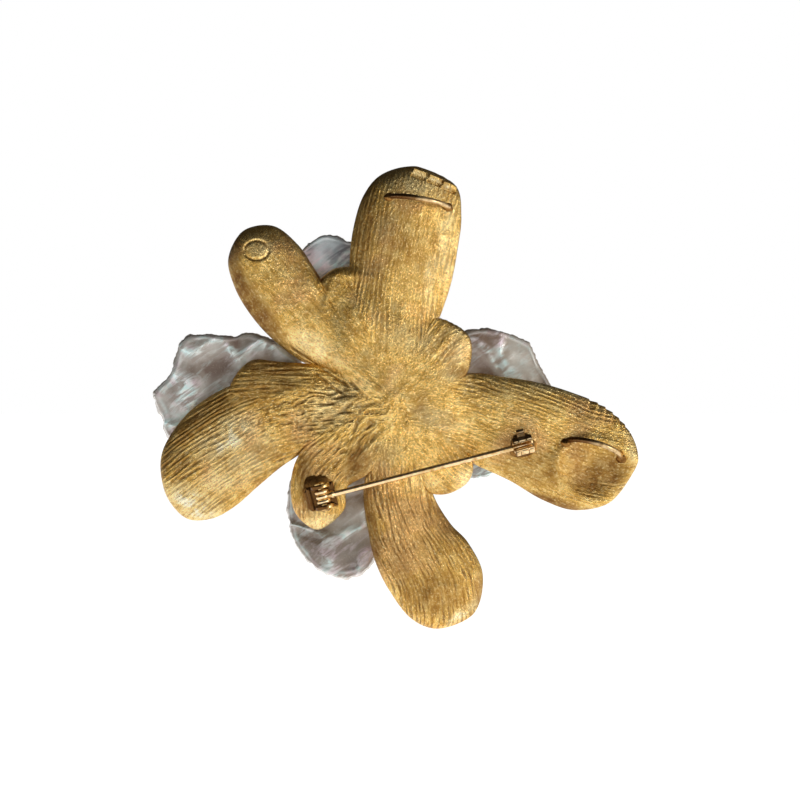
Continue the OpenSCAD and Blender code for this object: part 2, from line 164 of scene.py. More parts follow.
# --- Mesh helpers -------------------------------------------------------------------------------
def make_piece(name, points, faces, body="flower", slot="gilt_casting", values=None, replaces=()):
    """A smooth piece from plan points, riding on a body.

    values are numbers or vectors kept at each point for the materials.
    """
    mesh = bpy.data.meshes.new(name)
    mesh.from_pydata(to_frame(points).tolist(), [], faces)
    mesh.polygons.foreach_set("use_smooth", [True] * len(mesh.polygons))
    for key, value in (values or {}).items():
        kind, field = ("FLOAT", "value") if value.ndim == 1 else ("FLOAT_VECTOR", "vector")
        mesh.attributes.new(key, kind, "POINT").data.foreach_set(field, value.ravel().astype(np.float32))
    piece = bpy.data.objects.new(name, mesh)
    bpy.context.scene.collection.objects.link(piece)
    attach(piece, body)
    if replaces:
        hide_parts(*replaces)
    return piece


def shell(rings, tip=None):
    """The points and outward faces of a closed shell through closed rings.

    The first ring closes to its middle, and the last to the tip or to its middle.
    """
    rings = np.asarray(rings, float)
    rows, ring = rings.shape[:2]
    end = rings[-1].mean(axis=0) if tip is None else tip
    points = np.vstack([rings.reshape(-1, 3), rings[0].mean(axis=0), end])
    last, count = (rows - 1) * ring, rows * ring
    sides = [(i, (i + 1) % ring) for i in range(ring)]
    faces = [(a + i, a + j, a + ring + j, a + ring + i) for a in range(0, last, ring) for i, j in sides]
    faces += [(j, i, count) for i, j in sides]
    faces += [(last + i, last + j, count + 1) for i, j in sides]
    corners = np.array([f[:3] for f in faces])
    a, b, c = (points[corners[:, i]] - points.mean(axis=0) for i in range(3))
    if np.einsum("ij,ij->", a, np.cross(b, c)) < 0:
        faces = [tuple(reversed(f)) for f in faces]
    return points, faces


def at_points(values, shape):
    """Values at a shell's points: those on its rings, and nothing at the two points that close it."""
    return np.append(np.broadcast_to(values, shape), [0.0, 0.0])


def catmull(p0, p1, p2, p3, t):
    """A smooth curve's points between p1 and p2, for t from 0 to 1."""
    t = np.asarray(t)[..., None]
    return (2 * p1 + (p2 - p0) * t + (2 * p0 - 5 * p1 + 4 * p2 - p3) * t**2
            + (3 * p1 - p0 - 3 * p2 + p3) * t**3) / 2


def edge_curve(edge, other, u):
    """An edge's points at u, from the root to the tip, where it turns towards the other edge."""
    edge, other = np.array(edge, float), np.array(other, float)
    last = len(edge) - 1
    whole = np.vstack([2 * edge[0] - edge[1], edge, other[-2]])
    i = np.minimum((u * last).astype(int), last - 1)
    return catmull(whole[i], whole[i + 1], whole[i + 2], whole[i + 3], u * last - i)


def closed_curve(outline, u):
    """A smooth closed outline's points at u, from 0 to 1 once round."""
    p = np.array(outline, float)
    n = len(p)
    i = np.floor(u * n).astype(int)
    return catmull(p[(i - 1) % n], p[i % n], p[(i + 1) % n], p[(i + 2) % n], u * n - i)


# --- Castings -----------------------------------------------------------------------------------
HUB = (0.1, -1.8)
TIP_ROLL_START = 0.72
LINE_GAP = 0.82
WEB_RADIUS = 10.2
WEB_FRONT = -3.2

# left and right are a casting's edges from its root to its tip, and levels its middle line's heights, at the
# root, the line's handle and the tip. roll is how far its edges turn down and side how late they do so; tip
# and upper say how much of that the tip and the left half keep. ridge and flank are the strength of its
# lines, in all and towards the edges, and grooves how much darker its lines are painted, as painted shade.
# A dish is an oval with its depth. A notch is a row of saw teeth: from and to, which edge, how many and how
# deep.
PETAL_GRID = (260, 200, 70)  # rows from root to tip, then points across the back and across the front
SEAT_GRID = (120, 140, 40)
PETALS = {
    "petal_top": dict(
        left=[(-2.6, -3.5), (-5.4, 10), (-7.4, 17), (-7.9, 24), (-7.2, 30.6), (-5.3, 36.6), (-1.8, 40.5),
              (4.2, 41.7)],
        right=[(3.0, -3.5), (6.2, 9), (8.5, 14.4), (10.5, 20.4), (11.7, 26.6), (12.4, 32.8), (11.2, 38.5),
               (4.2, 41.7)],
        levels=(-1.0, 1.3, -0.9), roll=2.5, seed=3, ridge=0.8, flank=1.0, side=2.8, tip=0.5,
        notch=(0.88, 0.97, 1, 3, 0.2), facets=[(4.7, 40.1), (7.6, 39.0), (10.2, 37.8)]),
    "petal_upper_left": dict(
        left=[(-2.4, -4.6), (-11, 3.7), (-17, 6.6), (-22.3, 10.8), (-26.1, 15.2), (-28.8, 20), (-29.9, 25.2),
              (-27.2, 30.1)],
        right=[(2.6, 0.6), (-6.5, 9.6), (-9.2, 14.5), (-11.7, 19), (-14.3, 23.3), (-17.3, 27.6), (-21.8, 31),
               (-27.2, 30.1)],
        levels=(-1.0, 1.8, -1), roll=2.4, seed=5, ridge=0.3, flank=0.9, side=2.4, stamp=(-24.6, 26.4)),
    "petal_left": dict(
        left=[(1.0, -7.2), (-12, -8.4), (-18.7, -11.7), (-24, -15.9), (-28.6, -19.9), (-33, -22.2),
              (-37.8, -22), (-41.4, -17.4)],
        right=[(1.6, 0.5), (-12.4, 2.4), (-19, 3.6), (-26, 3), (-32.3, 0.6), (-37.9, -3.7), (-42, -10.4),
               (-41.4, -17.4)],
        levels=(-1.2, 0.9, -0.8), roll=2.3, seed=8, ridge=1.6, flank=0.1, side=2.1),
    "petal_bottom": dict(
        left=[(4.2, 0.5), (6.2, -12.6), (7.5, -18.2), (10.4, -23), (13.7, -26.6), (16.3, -32.4),
              (14.7, -39.3), (8.4, -42.05)],
        right=[(-3.0, 0.5), (-4.7, -12), (-5.4, -18), (-4.5, -24.6), (-3.2, -30), (-0.8, -35), (3.3, -40.3),
               (8.4, -42.05)],
        levels=(-1.1, 0.8, 0.0), roll=2.3, seed=13, ridge=1.9, flank=0.1, side=2.9, grooves=2.2,
        dish=(10.5, -38, 3.4, 2.6, -40, 0.5)),
    "petal_right": dict(
        left=[(-2.5, 2.2), (13.4, 4.2), (19.6, 3.6), (26, 2.6), (32.4, 0.7), (38.4, -1.9), (42.7, -6.2),
              (44.1, -12)],
        right=[(-2.0, -5.8), (10.6, -10.3), (15.8, -12.8), (21.2, -15.3), (27.2, -18.8), (33.2, -20.6),
               (39.8, -18.8), (44.1, -12)],
        levels=(-1.1, 0.8, 0.5), roll=2.1, seed=21, ridge=0.7, flank=0.9, side=3.0, tip=0.45, upper=0.55,
        dish=(37.0, -13.6, 5.8, 4.3, -17, 2.3), notch=(0.64, 0.86, -1, 6, 0.3)),
}
SEATS = {
    "seat_upper_left": dict(
        left=[(-5, 6), (-9.6, 13.6), (-12.4, 18.4), (-13.2, 21), (-10.6, 23.2)],
        right=[(-2.6, 7), (-5.6, 15), (-6.6, 20), (-7.2, 23.2), (-10.6, 23.2)],
        levels=(-1.2, -0.7, -1.7), seed=31, ridge=0.4),
    "seat_left": dict(
        left=[(-2.4, -2.8), (-12, -2.6), (-20, -3), (-27.2, -2.6), (-29.6, 1.6)],
        right=[(-2.6, 1.0), (-11, 5.2), (-20.4, 6.3), (-26, 6.4), (-29.6, 1.6)],
        levels=(-0.9, -0.4, -1.6), seed=33, ridge=1.2),
    "seat_bottom": dict(
        left=[(2, -3), (-3.6, -13), (-8.2, -16.4), (-8.9, -20.6), (-13.6, -24.1)],
        right=[(-5, -1), (-11, -5.4), (-16.2, -9.4), (-18.4, -14.6), (-17.8, -20.8), (-13.6, -24.1)],
        levels=(-1.2, 0.7, -0.8), seed=35, ridge=1.6),
    "seat_lower_right": dict(
        left=[(4, -3), (10.5, -8), (13.6, -10.6), (14.5, -13.2), (13.2, -15.9)],
        right=[(0.6, -6), (4.4, -12.6), (6.2, -17), (9.6, -17.7), (13.2, -15.9)],
        levels=(-1.2, 0.1, -0.9), seed=37, ridge=0.8),
    "seat_right": dict(
        left=[(-1, 3), (4.4, 9), (7.4, 14), (11.2, 13.1), (13.7, 11)],
        right=[(5, -2.5), (10.2, 1.6), (13.4, 4.2), (14.3, 8.2), (13.7, 11)],
        levels=(-1.2, 0.1, -0.9), seed=39, ridge=0.5, notch=(0.52, 0.98, -1, 7, 0.2)),
}
for facts in PETALS.values():
    facts.update(wall=1.5, grid=PETAL_GRID)
for facts in SEATS.values():
    facts.update(wall=1.3, roll=0.9, grid=SEAT_GRID, flank=0.2, side=2.4)
CASTINGS = {**PETALS, **SEATS}

# How far the middle of the back, which is one surface, reaches in each direction (degrees, mm)
MIDDLE = (-1.0, -1.5)
REACH = [(24, 14.8), (60, 17.6), (112, 24.8), (153, 9.5), (157, 17.5), (168, 25), (180, 24), (211, 19.4),
         (255, 13.2), (298, 17.6), (324, 18.4)]
MIDDLE_LEVEL = 0.3
MIDDLE_DROP = 2.5
SUNK = [(150, 0), (158, 1.5), (170, 1.2), (190, 0.4), (205, 0)]  # lower under the upper left petal's edge


def flat_field(x, y, angle, stretch_along, stretch_across):
    """Places for a noise that is drawn out along a direction in the plan."""
    along, across = turned(x, y, angle)
    return xyz(along * stretch_along, across * stretch_across)


# Where the upper left petal lies over the left one, and the fine creases that lead on from there
OVERLAP = (-19.5, 8.6, -9.6, 2.8)
CREASES = [(-18.4, 8.8, -8.2, 2.0), (-14.4, 4.6, -9.2, 0.6), (-7.6, 2.6, -4.4, -0.4)]


def line_distance(x, y, ax, ay, bx, by):
    """How far places in the plan are from a straight line's nearest point."""
    t = np.clip(((x - ax) * (bx - ax) + (y - ay) * (by - ay)) / ((bx - ax) ** 2 + (by - ay) ** 2), 0, 1)
    return np.hypot(x - ax - t * (bx - ax), y - ay - t * (by - ay))


def rippled(x, y):
    """1 where ripples cross the left petal's ridges, falling off round there."""
    return np.exp(-((x + 21.0) / 6.0) ** 2 - ((y + 3.4) / 5.0) ** 2)


def crinkle(plan):
    """The modelled middle of the back, in millimetres: folds and grooves, and faint lines that fan out."""
    x, y = plan[..., 0], plan[..., 1]
    near = np.exp(-((x + 9.5) / 11.0) ** 2 - ((y + 3.0) / 6.4) ** 2)
    p = flat_field(x, y, 24, 0.3, 0.62)
    warp = xyz(noise(p * 0.8, 31), noise(p * 0.8, 37))
    worms = 0.5 + 0.5 * np.cos(2 * math.pi * 1.15 * noise(p + 0.9 * warp, 41))
    folds = (0.34 * (worms ** 0.6 - 0.6) + 0.2 * (ridged(1.6 * p + warp, 47) - 0.6)) * near
    p = flat_field(x, y, 118, 0.28, 0.66)
    folds = folds + 0.55 * (ridged(p + 0.5 * warp, 49) - 0.62) * rippled(x, y)
    steep = np.exp(-((x + 7.2) / 4.2) ** 2 - ((y + 10.2) / 4.6) ** 2)
    p = flat_field(x, y, 62, 0.22, 0.95)
    grooves = 0.75 * (ridged(p + 0.4 * warp, 43) - 0.62) * steep
    grooves = grooves - 0.3 * sum(bump_at(line_distance(x, y, *ends), 0, 0.2) for ends in CREASES)
    turn = np.arctan2(y - MIDDLE[1], x - MIDDLE[0])
    out = np.hypot(x - MIDDLE[0], y - MIDDLE[1])
    p = xyz(np.cos(turn) * 17, np.sin(turn) * 17, out * 0.13)
    fan = 0.07 * noise(p, 45) * smoothstep(9, 14, out) * (1 - smoothstep(17, 23, out))
    return folds + grooves, fan


def ridges(along, across, seed):
    """Long raised lines of a modelled wax surface, along a casting, in millimetres."""
    def field(stretch_along, stretch_across):
        return xyz(along * stretch_along, across * stretch_across, seed)

    sway = 0.8 * noise(field(0.1, 0.14), seed)
    jumps = 2.4 * noise(field(0.13, 0.8), seed + 1)
    lines = np.sin((across + sway) * 2 * math.pi / LINE_GAP + jumps)
    fade = 0.55 + 0.75 * noise(field(0.16, 0.45), seed + 2)
    return 0.052 * lines * np.clip(fade, 0, 1.3) + 0.05 * noise(field(0.3, 2.3), seed + 3)


def spread(n):
    """n places from -1 to 1, closer together near the ends."""
    t = np.linspace(0, 1, n)
    return 0.45 * (2 * t - 1) - 0.55 * np.cos(math.pi * t)


def oval_distance(plan, oval):
    """Distance from an oval's middle, 1 on the oval itself."""
    x, y, rx, ry, angle = oval
    along, across = turned(plan[..., 0] - x, plan[..., 1] - y, angle)
    return np.hypot(along / rx, across / ry)


def base_shape(facts, u, side):
    """The smooth casting at u, 0 at the root to 1, and side, -1 to 1.

    Gives its plan, its middle's height, half its thickness, how solid it is (0 on the rim) and its two edges.
    """
    left_edge = edge_curve(facts["left"], facts["right"], u[:, 0])
    right_edge = edge_curve(facts["right"], facts["left"], u[:, 0])
    v = (side + 1) / 2
    plan = left_edge[:, None, :] * (1 - v[..., None]) + right_edge[:, None, :] * v[..., None]
    towards_tip = np.clip((u - TIP_ROLL_START) / (1 - TIP_ROLL_START), 0, 1)
    share = 1 - (1 - np.abs(side) ** facts["side"]) * (1 - facts.get("tip", 1.0) * towards_tip**2.6)
    share = share * (1 - (1 - facts.get("upper", 1.0)) * smoothstep(0.0, -0.6, side))
    l0, l1, l2 = facts["levels"]
    line = (l0 * (1 - u) + l1 * u) * (1 - u) + (l1 * (1 - u) + l2 * u) * u
    rim = np.maximum(np.abs(side) ** 7, np.clip((u - 0.9) / 0.1, 0, 1) ** 5)
    solid = np.sqrt(np.clip(1 - rim**2, 0, 1))
    half = facts["wall"] / 2 * (1 - 0.25 * share) * solid
    height = line - facts["roll"] * share - facts["wall"] / 2
    if "dish" in facts:
        far = oval_distance(plan, facts["dish"][:5])
        height = height - facts["dish"][5] * (np.exp(-far**3) - 0.22 * bump_at(far, 1.3, 0.22))
    return plan, height, half, solid, left_edge, right_edge


# A height map of the whole back, so that castings that meet run into each other
CELL = 0.2
MAP_LOW = np.array([-50.0, -48.0])
MAP_SHAPE = (500, 480)
OUTSIDE = -60.0
OUTSIDE_SLOPE = 2.2
NEIGHBOURS = ((1, 0), (-1, 0), (0, 1), (0, -1))


def height_map(plan, height):
    """The highest point in each cell of the plan, falling off steeply outside the shape."""
    grid = np.full(MAP_SHAPE, OUTSIDE)
    cell = np.floor((plan.reshape(-1, 2) - MAP_LOW) / CELL).astype(int)
    np.maximum.at(grid, (cell[:, 0], cell[:, 1]), height.ravel())
    for _ in range(10):
        for shift in NEIGHBOURS:
            grid = np.maximum(grid, np.roll(grid, shift, axis=(0, 1)) - OUTSIDE_SLOPE * CELL)
    return grid


def web_shape(radius, turn):
    """The plate behind the roots: its plan and its back's height."""
    plan = np.stack([HUB[0] + radius * np.cos(turn), HUB[1] + radius * np.sin(turn)], axis=-1)
    return plan, -0.75 - 0.008 * radius**2


def sharpness(x, y):
    """How far apart in height two castings may be and still run together."""
    return 0.08 + 0.8 * smoothstep(0.8, 3.2, line_distance(x, y, *OVERLAP))


def by_direction(x, y, table):
    """A table's value for the direction from the middle."""
    turn = np.degrees(np.arctan2(y - MIDDLE[1], x - MIDDLE[0]))
    return np.interp(turn, *zip(*table), period=360)


def middle_share(x, y):
    """0 at the middle of the back and 1 where it ends at the notches between the castings."""
    return np.hypot(x - MIDDLE[0], y - MIDDLE[1]) / by_direction(x, y, REACH)


def soften(grid, times):
    """The map after each cell is averaged with its neighbours, time after time."""
    for _ in range(times):
        grid = sum((np.roll(grid, shift, axis=(0, 1)) for shift in NEIGHBOURS), grid) / (1 + len(NEIGHBOURS))
    return grid


def make_maps():
    """Maps of the back: the castings' own top, how much each place is raised, and all of it smoothed."""
    maps = []
    u, side = np.meshgrid(np.linspace(0, 1, 520), np.linspace(-1, 1, 260), indexing="ij")
    for facts in CASTINGS.values():
        plan, height, half, *_ = base_shape(facts, u, side)
        maps.append(height_map(plan, height + half))
    r, t = np.meshgrid(np.linspace(0, WEB_RADIUS, 120), np.linspace(0, 2 * math.pi, 500), indexing="ij")
    maps.append(height_map(*web_shape(r, t)))
    top = np.max(maps, axis=0)
    x = MAP_LOW[0] + (np.arange(MAP_SHAPE[0])[:, None] + 0.5) * CELL
    y = MAP_LOW[1] + (np.arange(MAP_SHAPE[1])[None, :] + 0.5) * CELL
    share = middle_share(x, y)
    sunk = by_direction(x, y, SUNK) * smoothstep(4, 9, np.hypot(x - MIDDLE[0], y - MIDDLE[1]))
    ends = MIDDLE_DROP * smoothstep(0.62, 1.06, share) + 60 * np.clip(share - 1.03, 0, None)
    maps.append(MIDDLE_LEVEL - sunk - ends * np.ones(MAP_SHAPE))
    highest = np.max(maps, axis=0)
    k = sharpness(x, y)
    joined = highest + k * np.log(np.exp((np.array(maps) - highest) / k).sum(axis=0))
    return top, soften(joined - top, 3), soften(joined, 26)


def sample(grid, plan):
    """The map's value at places in the plan."""
    p = (plan - MAP_LOW) / CELL - 0.5
    i = np.clip(np.floor(p).astype(int), 0, np.array(MAP_SHAPE) - 2)
    f = p - i
    a, b = grid[i[..., 0], i[..., 1]], grid[i[..., 0] + 1, i[..., 1]]
    c, d = grid[i[..., 0], i[..., 1] + 1], grid[i[..., 0] + 1, i[..., 1] + 1]
    fx, fy = f[..., 0], f[..., 1]
    return (a * (1 - fx) + b * fx) * (1 - fy) + (c * (1 - fx) + d * fx) * fy


TOP, RISE, SMOOTH = make_maps()


def joined_back(plan, own):
    """The back's height where a casting's own height is known, and how much it belongs to the middle."""
    zone = smoothstep(0.98, 0.78, middle_share(plan[..., 0], plan[..., 1]))
    zone = zone * smoothstep(-1.4, -0.4, own - sample(TOP, plan))
    raised = own + sample(RISE, plan)
    return raised + (sample(SMOOTH, plan) - raised) * zone, zone


# Ovals of the plan, with their strength: painted shade on flanks and hollows that face away from the light,
# dulled gilding, and painted highlights where the light catches
PAINTED_SHADES = [(-14.5, 23.4, 5.4, 0.6, -56, 1.0), (-5.2, 30, 2.2, 10, -6, 0.8), (38.6, -13.4, 4.2, 3.6, -17, 1.0),
          (35.5, -14.8, 5.6, 3.4, -17, 0.9), (-27.6, 20.2, 1.9, 5, 21, 1.0), (2.5, 27, 5.5, 6, 0, 0.42),
          (5, -22, 7, 6, 0, 0.22), (-29.5, -0.6, 10, 2.8, 20, 0.6), (-25.4, 16.8, 2.5, 11, 35, 1.0),
          (-28.9, 25, 1.6, 4.5, 0, 0.9), (-6.6, -11.6, 2.4, 4.6, -14, 0.9), (-15.6, -15.6, 1.6, 6.5, 8, 1.0),
          (25, 3.0, 9, 0.7, -10, 0.35), (27.6, -19.2, 9.5, 1.7, -16, 1.0), (-3.6, -25, 1.4, 8, 8, 0.9),
          (2.5, -33, 2.4, 7, 22, 0.6), (-22, 5.0, 6, 1.8, -4, 0.9), (-23, 2.4, 8, 2.6, 6, 0.75),
          (-36, -5, 8, 2.2, 38, 0.7), (12.4, 4.4, 5, 1.2, 8, 0.5), (15.4, -35, 1.3, 5, -8, 0.6),
          (8, -35.5, 6, 5, 0, 0.75), (7, -28, 9, 7, 0, 0.3), (26, -12.5, 9, 4.5, -17, 0.62),
          (0, 30, 5, 8, 0, 0.55), (-40.6, -10, 1.3, 6, -18, 0.7), (-13.6, -17.6, 4.0, 3.4, 20, 0.85),
          (-12, -4, 3, 1.2, 30, 0.5), (0, 3, 4, 3, 0, 0.2), (4, 22, 5, 2.5, 60, 0.3)]
DULL = [(3.4, 38.6, 6.4, 2.6, -8, 0.8), (-1.2, 31, 2.6, 2.2, 0, 0.5), (3, 10.5, 6, 3.2, -20, 0.5),
        (11.5, 4.8, 4.4, 2.4, 20, 0.6), (22, 1.4, 8, 2.0, -8, 0.3), (-3, -11, 6, 3.6, 20, 0.4)]
PAINTED_HIGHLIGHTS = [(9.6, 27.5, 1.9, 8.5, -4, 0.5), (-23.8, 27.4, 3.4, 2.6, 0, 0.4), (-36, -19.6, 6, 3.2, -30, 1.0),
          (-28, -13, 9, 3.4, 38, 0.6), (13.8, -15, 3.2, 2.6, 0, 0.7), (-13.0, -22.8, 3.2, 2.2, 0, 0.7),
          (41.9, -17.2, 1.0, 4.2, -44, 0.35), (43.3, -10.5, 1.0, 4.6, 14, 0.5), (-30, -7.5, 6, 3.6, 30, 0.95),
          (30, 1.4, 7, 1.0, -14, 0.7), (4.6, 40.1, 1.4, 0.6, -16, 1.0), (7.5, 38.9, 1.2, 0.55, -20, 1.0),
          (10, 37.6, 0.9, 0.6, -20, 1.0), (-14, 8.8, 6, 2.6, -34, 0.6), (-11, -1.4, 7, 4, 24, 0.45),
          (12, 9.6, 2, 3.4, 0, 0.6), (6.8, 22, 1.2, 4, -10, 0.7), (12.4, -39.2, 4.2, 1.0, 38, 0.9),
          (6, -15.5, 3.4, 2, 0, 0.4), (8, -4, 5, 2, -20, 0.4)]


def ovals_at(plan, ovals):
    """The strongest of the ovals at each place, soft at their edges."""
    return np.max([strength * (1 - smoothstep(0.35, 1.35, oval_distance(plan, oval)))
                   for *oval, strength in ovals], axis=0)


def swell(plan):
    """The slow unevenness of the back, in millimetres, before its strength."""
    return rough(on_plan(plan, scale=0.14), 11, 2)


STAMP_RADIUS = 1.75
STAMP_STRETCH = 1.25
STAMP_LINE = 0.22  # its depth, and the width of its line
FACET_WAY = (0.34, 0.94)


def struck(facts, plan):
    """How far a stamped oval and flat facets move the back, in millimetres."""
    x, y = plan[..., 0], plan[..., 1]
    moved = 0 * x
    if "stamp" in facts:
        stamp_x, stamp_y = facts["stamp"]
        far = np.hypot((x - stamp_x) / STAMP_STRETCH, y - stamp_y)
        moved = moved - STAMP_LINE * bump_at(far, STAMP_RADIUS, STAMP_LINE)
    for facet_x, facet_y in facts.get("facets", ()):
        outwards = (x - facet_x) * FACET_WAY[0] + (y - facet_y) * FACET_WAY[1]
        sideways = (x - facet_x) * FACET_WAY[1] - (y - facet_y) * FACET_WAY[0]
        mask = smoothstep(1.35, 1.15, np.abs(sideways)) * smoothstep(0.85, 0.65, np.abs(outwards))
        moved = moved + mask * (outwards + 0.15)
    return moved


def saw_cut(facts, u, side):
    """How deep a row of saw teeth cuts into one edge, in millimetres."""
    low, high, at_side, teeth, depth = facts["notch"]
    step = np.mod((u - low) / (high - low) * teeth, 1)
    inside = smoothstep(low - 0.01, low, u) * (1 - smoothstep(high, high + 0.01, u))
    tooth = smoothstep(0, 0.16, step) * (1 - step)
    return depth * tooth * inside * np.clip(side * at_side, 0, 1) ** 5


def casting(name, facts):
    """A cast petal or seat: a shell with a round rim, ridged along its back and veined on its front."""
    rows, back_n, front_n = facts["grid"]
    seed = facts["seed"]
    u_line = 1 - (1 - np.arange(rows) / rows) ** 1.35
    side_line = np.concatenate([spread(back_n), spread(front_n)[::-1][1:-1]])
    u, side = np.meshgrid(u_line, side_line, indexing="ij")
    back = np.arange(len(side_line)) < back_n
    plan, middle, half, solid, left_edge, right_edge = base_shape(facts, u, side)

    line = (left_edge + right_edge) / 2
    along = np.cumsum(np.hypot(*np.diff(line, axis=0, prepend=line[:1]).T))[:, None]
    half_width = np.hypot(*(right_edge - left_edge).T)[:, None] / 2
    across = side * half_width

    folds, fan = crinkle(plan)
    back_z, zone = joined_back(plan, middle + half)
    shallow = smoothstep(8, 16, np.hypot(plan[..., 0] - MIDDLE[0], plan[..., 1] - MIDDLE[1]))
    flank = 1 + facts["flank"] * (np.abs(side) ** 2 * 2 - 0.5)
    strength = facts["ridge"] * flank * shallow
    lines = ridges(along + 0 * side, across, seed) * strength
    lines = lines * (1 - 0.55 * rippled(plan[..., 0], plan[..., 1]))
    low = swell(plan)
    grain = rough(on_plan(plan, scale=1.5), 19, 2)
    inner = solid**2
    relief = (lines + folds + fan + 0.16 * low + 0.03 * grain) * (inner + (1 - inner) * zone)
    vein = bump_at(across, 0, 0.5) * smoothstep(0.15, 0.4, u)
    front_relief = (0.7 * lines + 0.16 * low - 0.35 * vein) * inner
    z = np.where(back, back_z + relief + struck(facts, plan), middle - half - front_relief)
    if "notch" in facts:
        cut = saw_cut(facts, u, side)
        inward = (left_edge - right_edge)[:, None, :] / (2 * half_width[..., None]) * facts["notch"][2]
        plan = plan + inward * cut[..., None]
        z = z - np.where(back, 0.9 * cut, 0)

    # The hollows of the lines and folds are painted darker in the material, as patina and painted shade;
    # grooves paints a petal's lines darker still, as painted shade.
    depth = (lines + fan) * 7 * facts.get("grooves", 1.0) + folds * 3.4 + 0.7 * low - 0.1
    values = {
        "hollow": np.clip(-depth * np.maximum(inner, zone), 0, 1),
        "painted_shade": ovals_at(plan, PAINTED_SHADES) * back,
        "dull": ovals_at(plan, DULL) * back,
        "painted_highlight": ovals_at(plan, PAINTED_HIGHLIGHTS) * back,
        "lined": np.clip(strength / 1.5, 0, 1),
    }
    values = {key: at_points(value, u.shape) for key, value in values.items()}
    values["grain"] = xyz(*(at_points(value, u.shape) for value in (along, across, seed * 3.7)))
    tip = (*facts["left"][-1], middle[-1, back_n // 2])
    piece = make_piece(name, *shell(on_plan(plan, z), tip), replaces=(name,), values=values)
    piece.data.materials.append(CAST_GOLD)


def back_web():
    """The plate behind the roots, with the same kneaded back."""
    turn = np.arange(260) / 260 * 2 * math.pi
    r, t = np.meshgrid(np.linspace(0.12, WEB_RADIUS, 70), turn, indexing="ij")
    plan, height = web_shape(r, t)
    folds, fan = crinkle(plan)
    back_z = joined_back(plan, height)[0] + folds + fan + 0.16 * swell(plan) - 0.03
    back_z = back_z - 0.5 * smoothstep(WEB_RADIUS - 0.8, WEB_RADIUS, r)
    front_r, t = np.meshgrid(np.linspace(WEB_RADIUS + 0.2, 0.12, 30), turn, indexing="ij")
    front_plan, _ = web_shape(front_r, t)
    front_z = WEB_FRONT + 0.5 * smoothstep(WEB_RADIUS - 0.2, WEB_RADIUS + 0.2, front_r)
    front_z = front_z + 0.05 * rough(on_plan(front_plan, scale=0.8), 61, 2)
    points, faces = shell(np.vstack([on_plan(plan, back_z), on_plan(front_plan, front_z)]))
    zero = np.zeros(len(points))
    values = {key: zero for key in ("lined", "painted_shade", "dull", "painted_highlight")}
    # hollow darkens the whole plate a little: patina and painted shade.
    values.update(hollow=zero + 0.2, grain=on_plan(points, 9.0))
    piece = make_piece("back_hub", points, faces, replaces=("back_hub",), values=values)
    piece.data.materials.append(CAST_GOLD)


# --- Pearls -------------------------------------------------------------------------------------
PEARL_LEVEL = -7.4
PEARLS = {
    "pearl_upper_left": dict(
        outline=[(-3.8, 22.6), (-5, 27.2), (-8.6, 28.8), (-12.3, 29.7), (-15.6, 28), (-18, 24.6),
                 (-16.6, 19.4), (-12.8, 15.8), (-8.6, 15), (-5, 17.8)],
        middle=(-11, 22.3), half=2.6, seed=51, tone=0.9, glow=0.2),
    "pearl_left": dict(
        outline=[(-16.4, 5.4), (-20, 9.2), (-25, 11.6), (-30, 11.2), (-35.4, 11.6), (-39, 10.2), (-41, 4.2),
                 (-44.1, 0.3), (-42.6, -3.4), (-40.9, -7.6), (-34, -6.2), (-27, -3.6), (-19.6, 0.4)],
        middle=(-30, 2.8), half=2.9, seed=53, tone=0.2),
    "pearl_bottom": dict(
        outline=[(-3, -18.5), (-6, -12.8), (-11.5, -10.6), (-17, -12), (-19.3, -17.4), (-19.2, -23),
                 (-17.6, -27.9), (-13, -32.3), (-8, -33.4), (-3.9, -31), (-2.3, -25)],
        middle=(-10.8, -21.4), half=2.9, seed=55, tone=0.1),
    "pearl_lower_right": dict(
        outline=[(21, -8), (18, -4.6), (13, -5.4), (9.8, -9.2), (9.9, -14), (12.8, -15.2), (17.4, -14.6),
                 (20.4, -12.2)],
        middle=(15.6, -10.2), half=2.4, seed=57, tone=0.5, glow=0.8),
    "pearl_right": dict(
        outline=[(29.2, 1.4), (26.8, 6), (24.9, 9.8), (20.6, 11.9), (15.4, 12.6), (11, 10.8), (8.6, 6.6),
                 (11, 1.8), (16.5, -2.2), (23.5, -3.6), (28.4, -2)],
        middle=(19, 4.4), half=2.9, seed=59, tone=0.0),
}

# Painted shade: ovals of the plan where the nacre is painted darker brown, with their strength
PEARL_SHADES = [(-12.6, -26.6, 7.5, 5.2, -12, 1.0), (-8.5, -30.0, 5, 2.6, -20, 0.8),
                (-34.5, 3.6, 4.5, 3.2, 40, 0.25)]


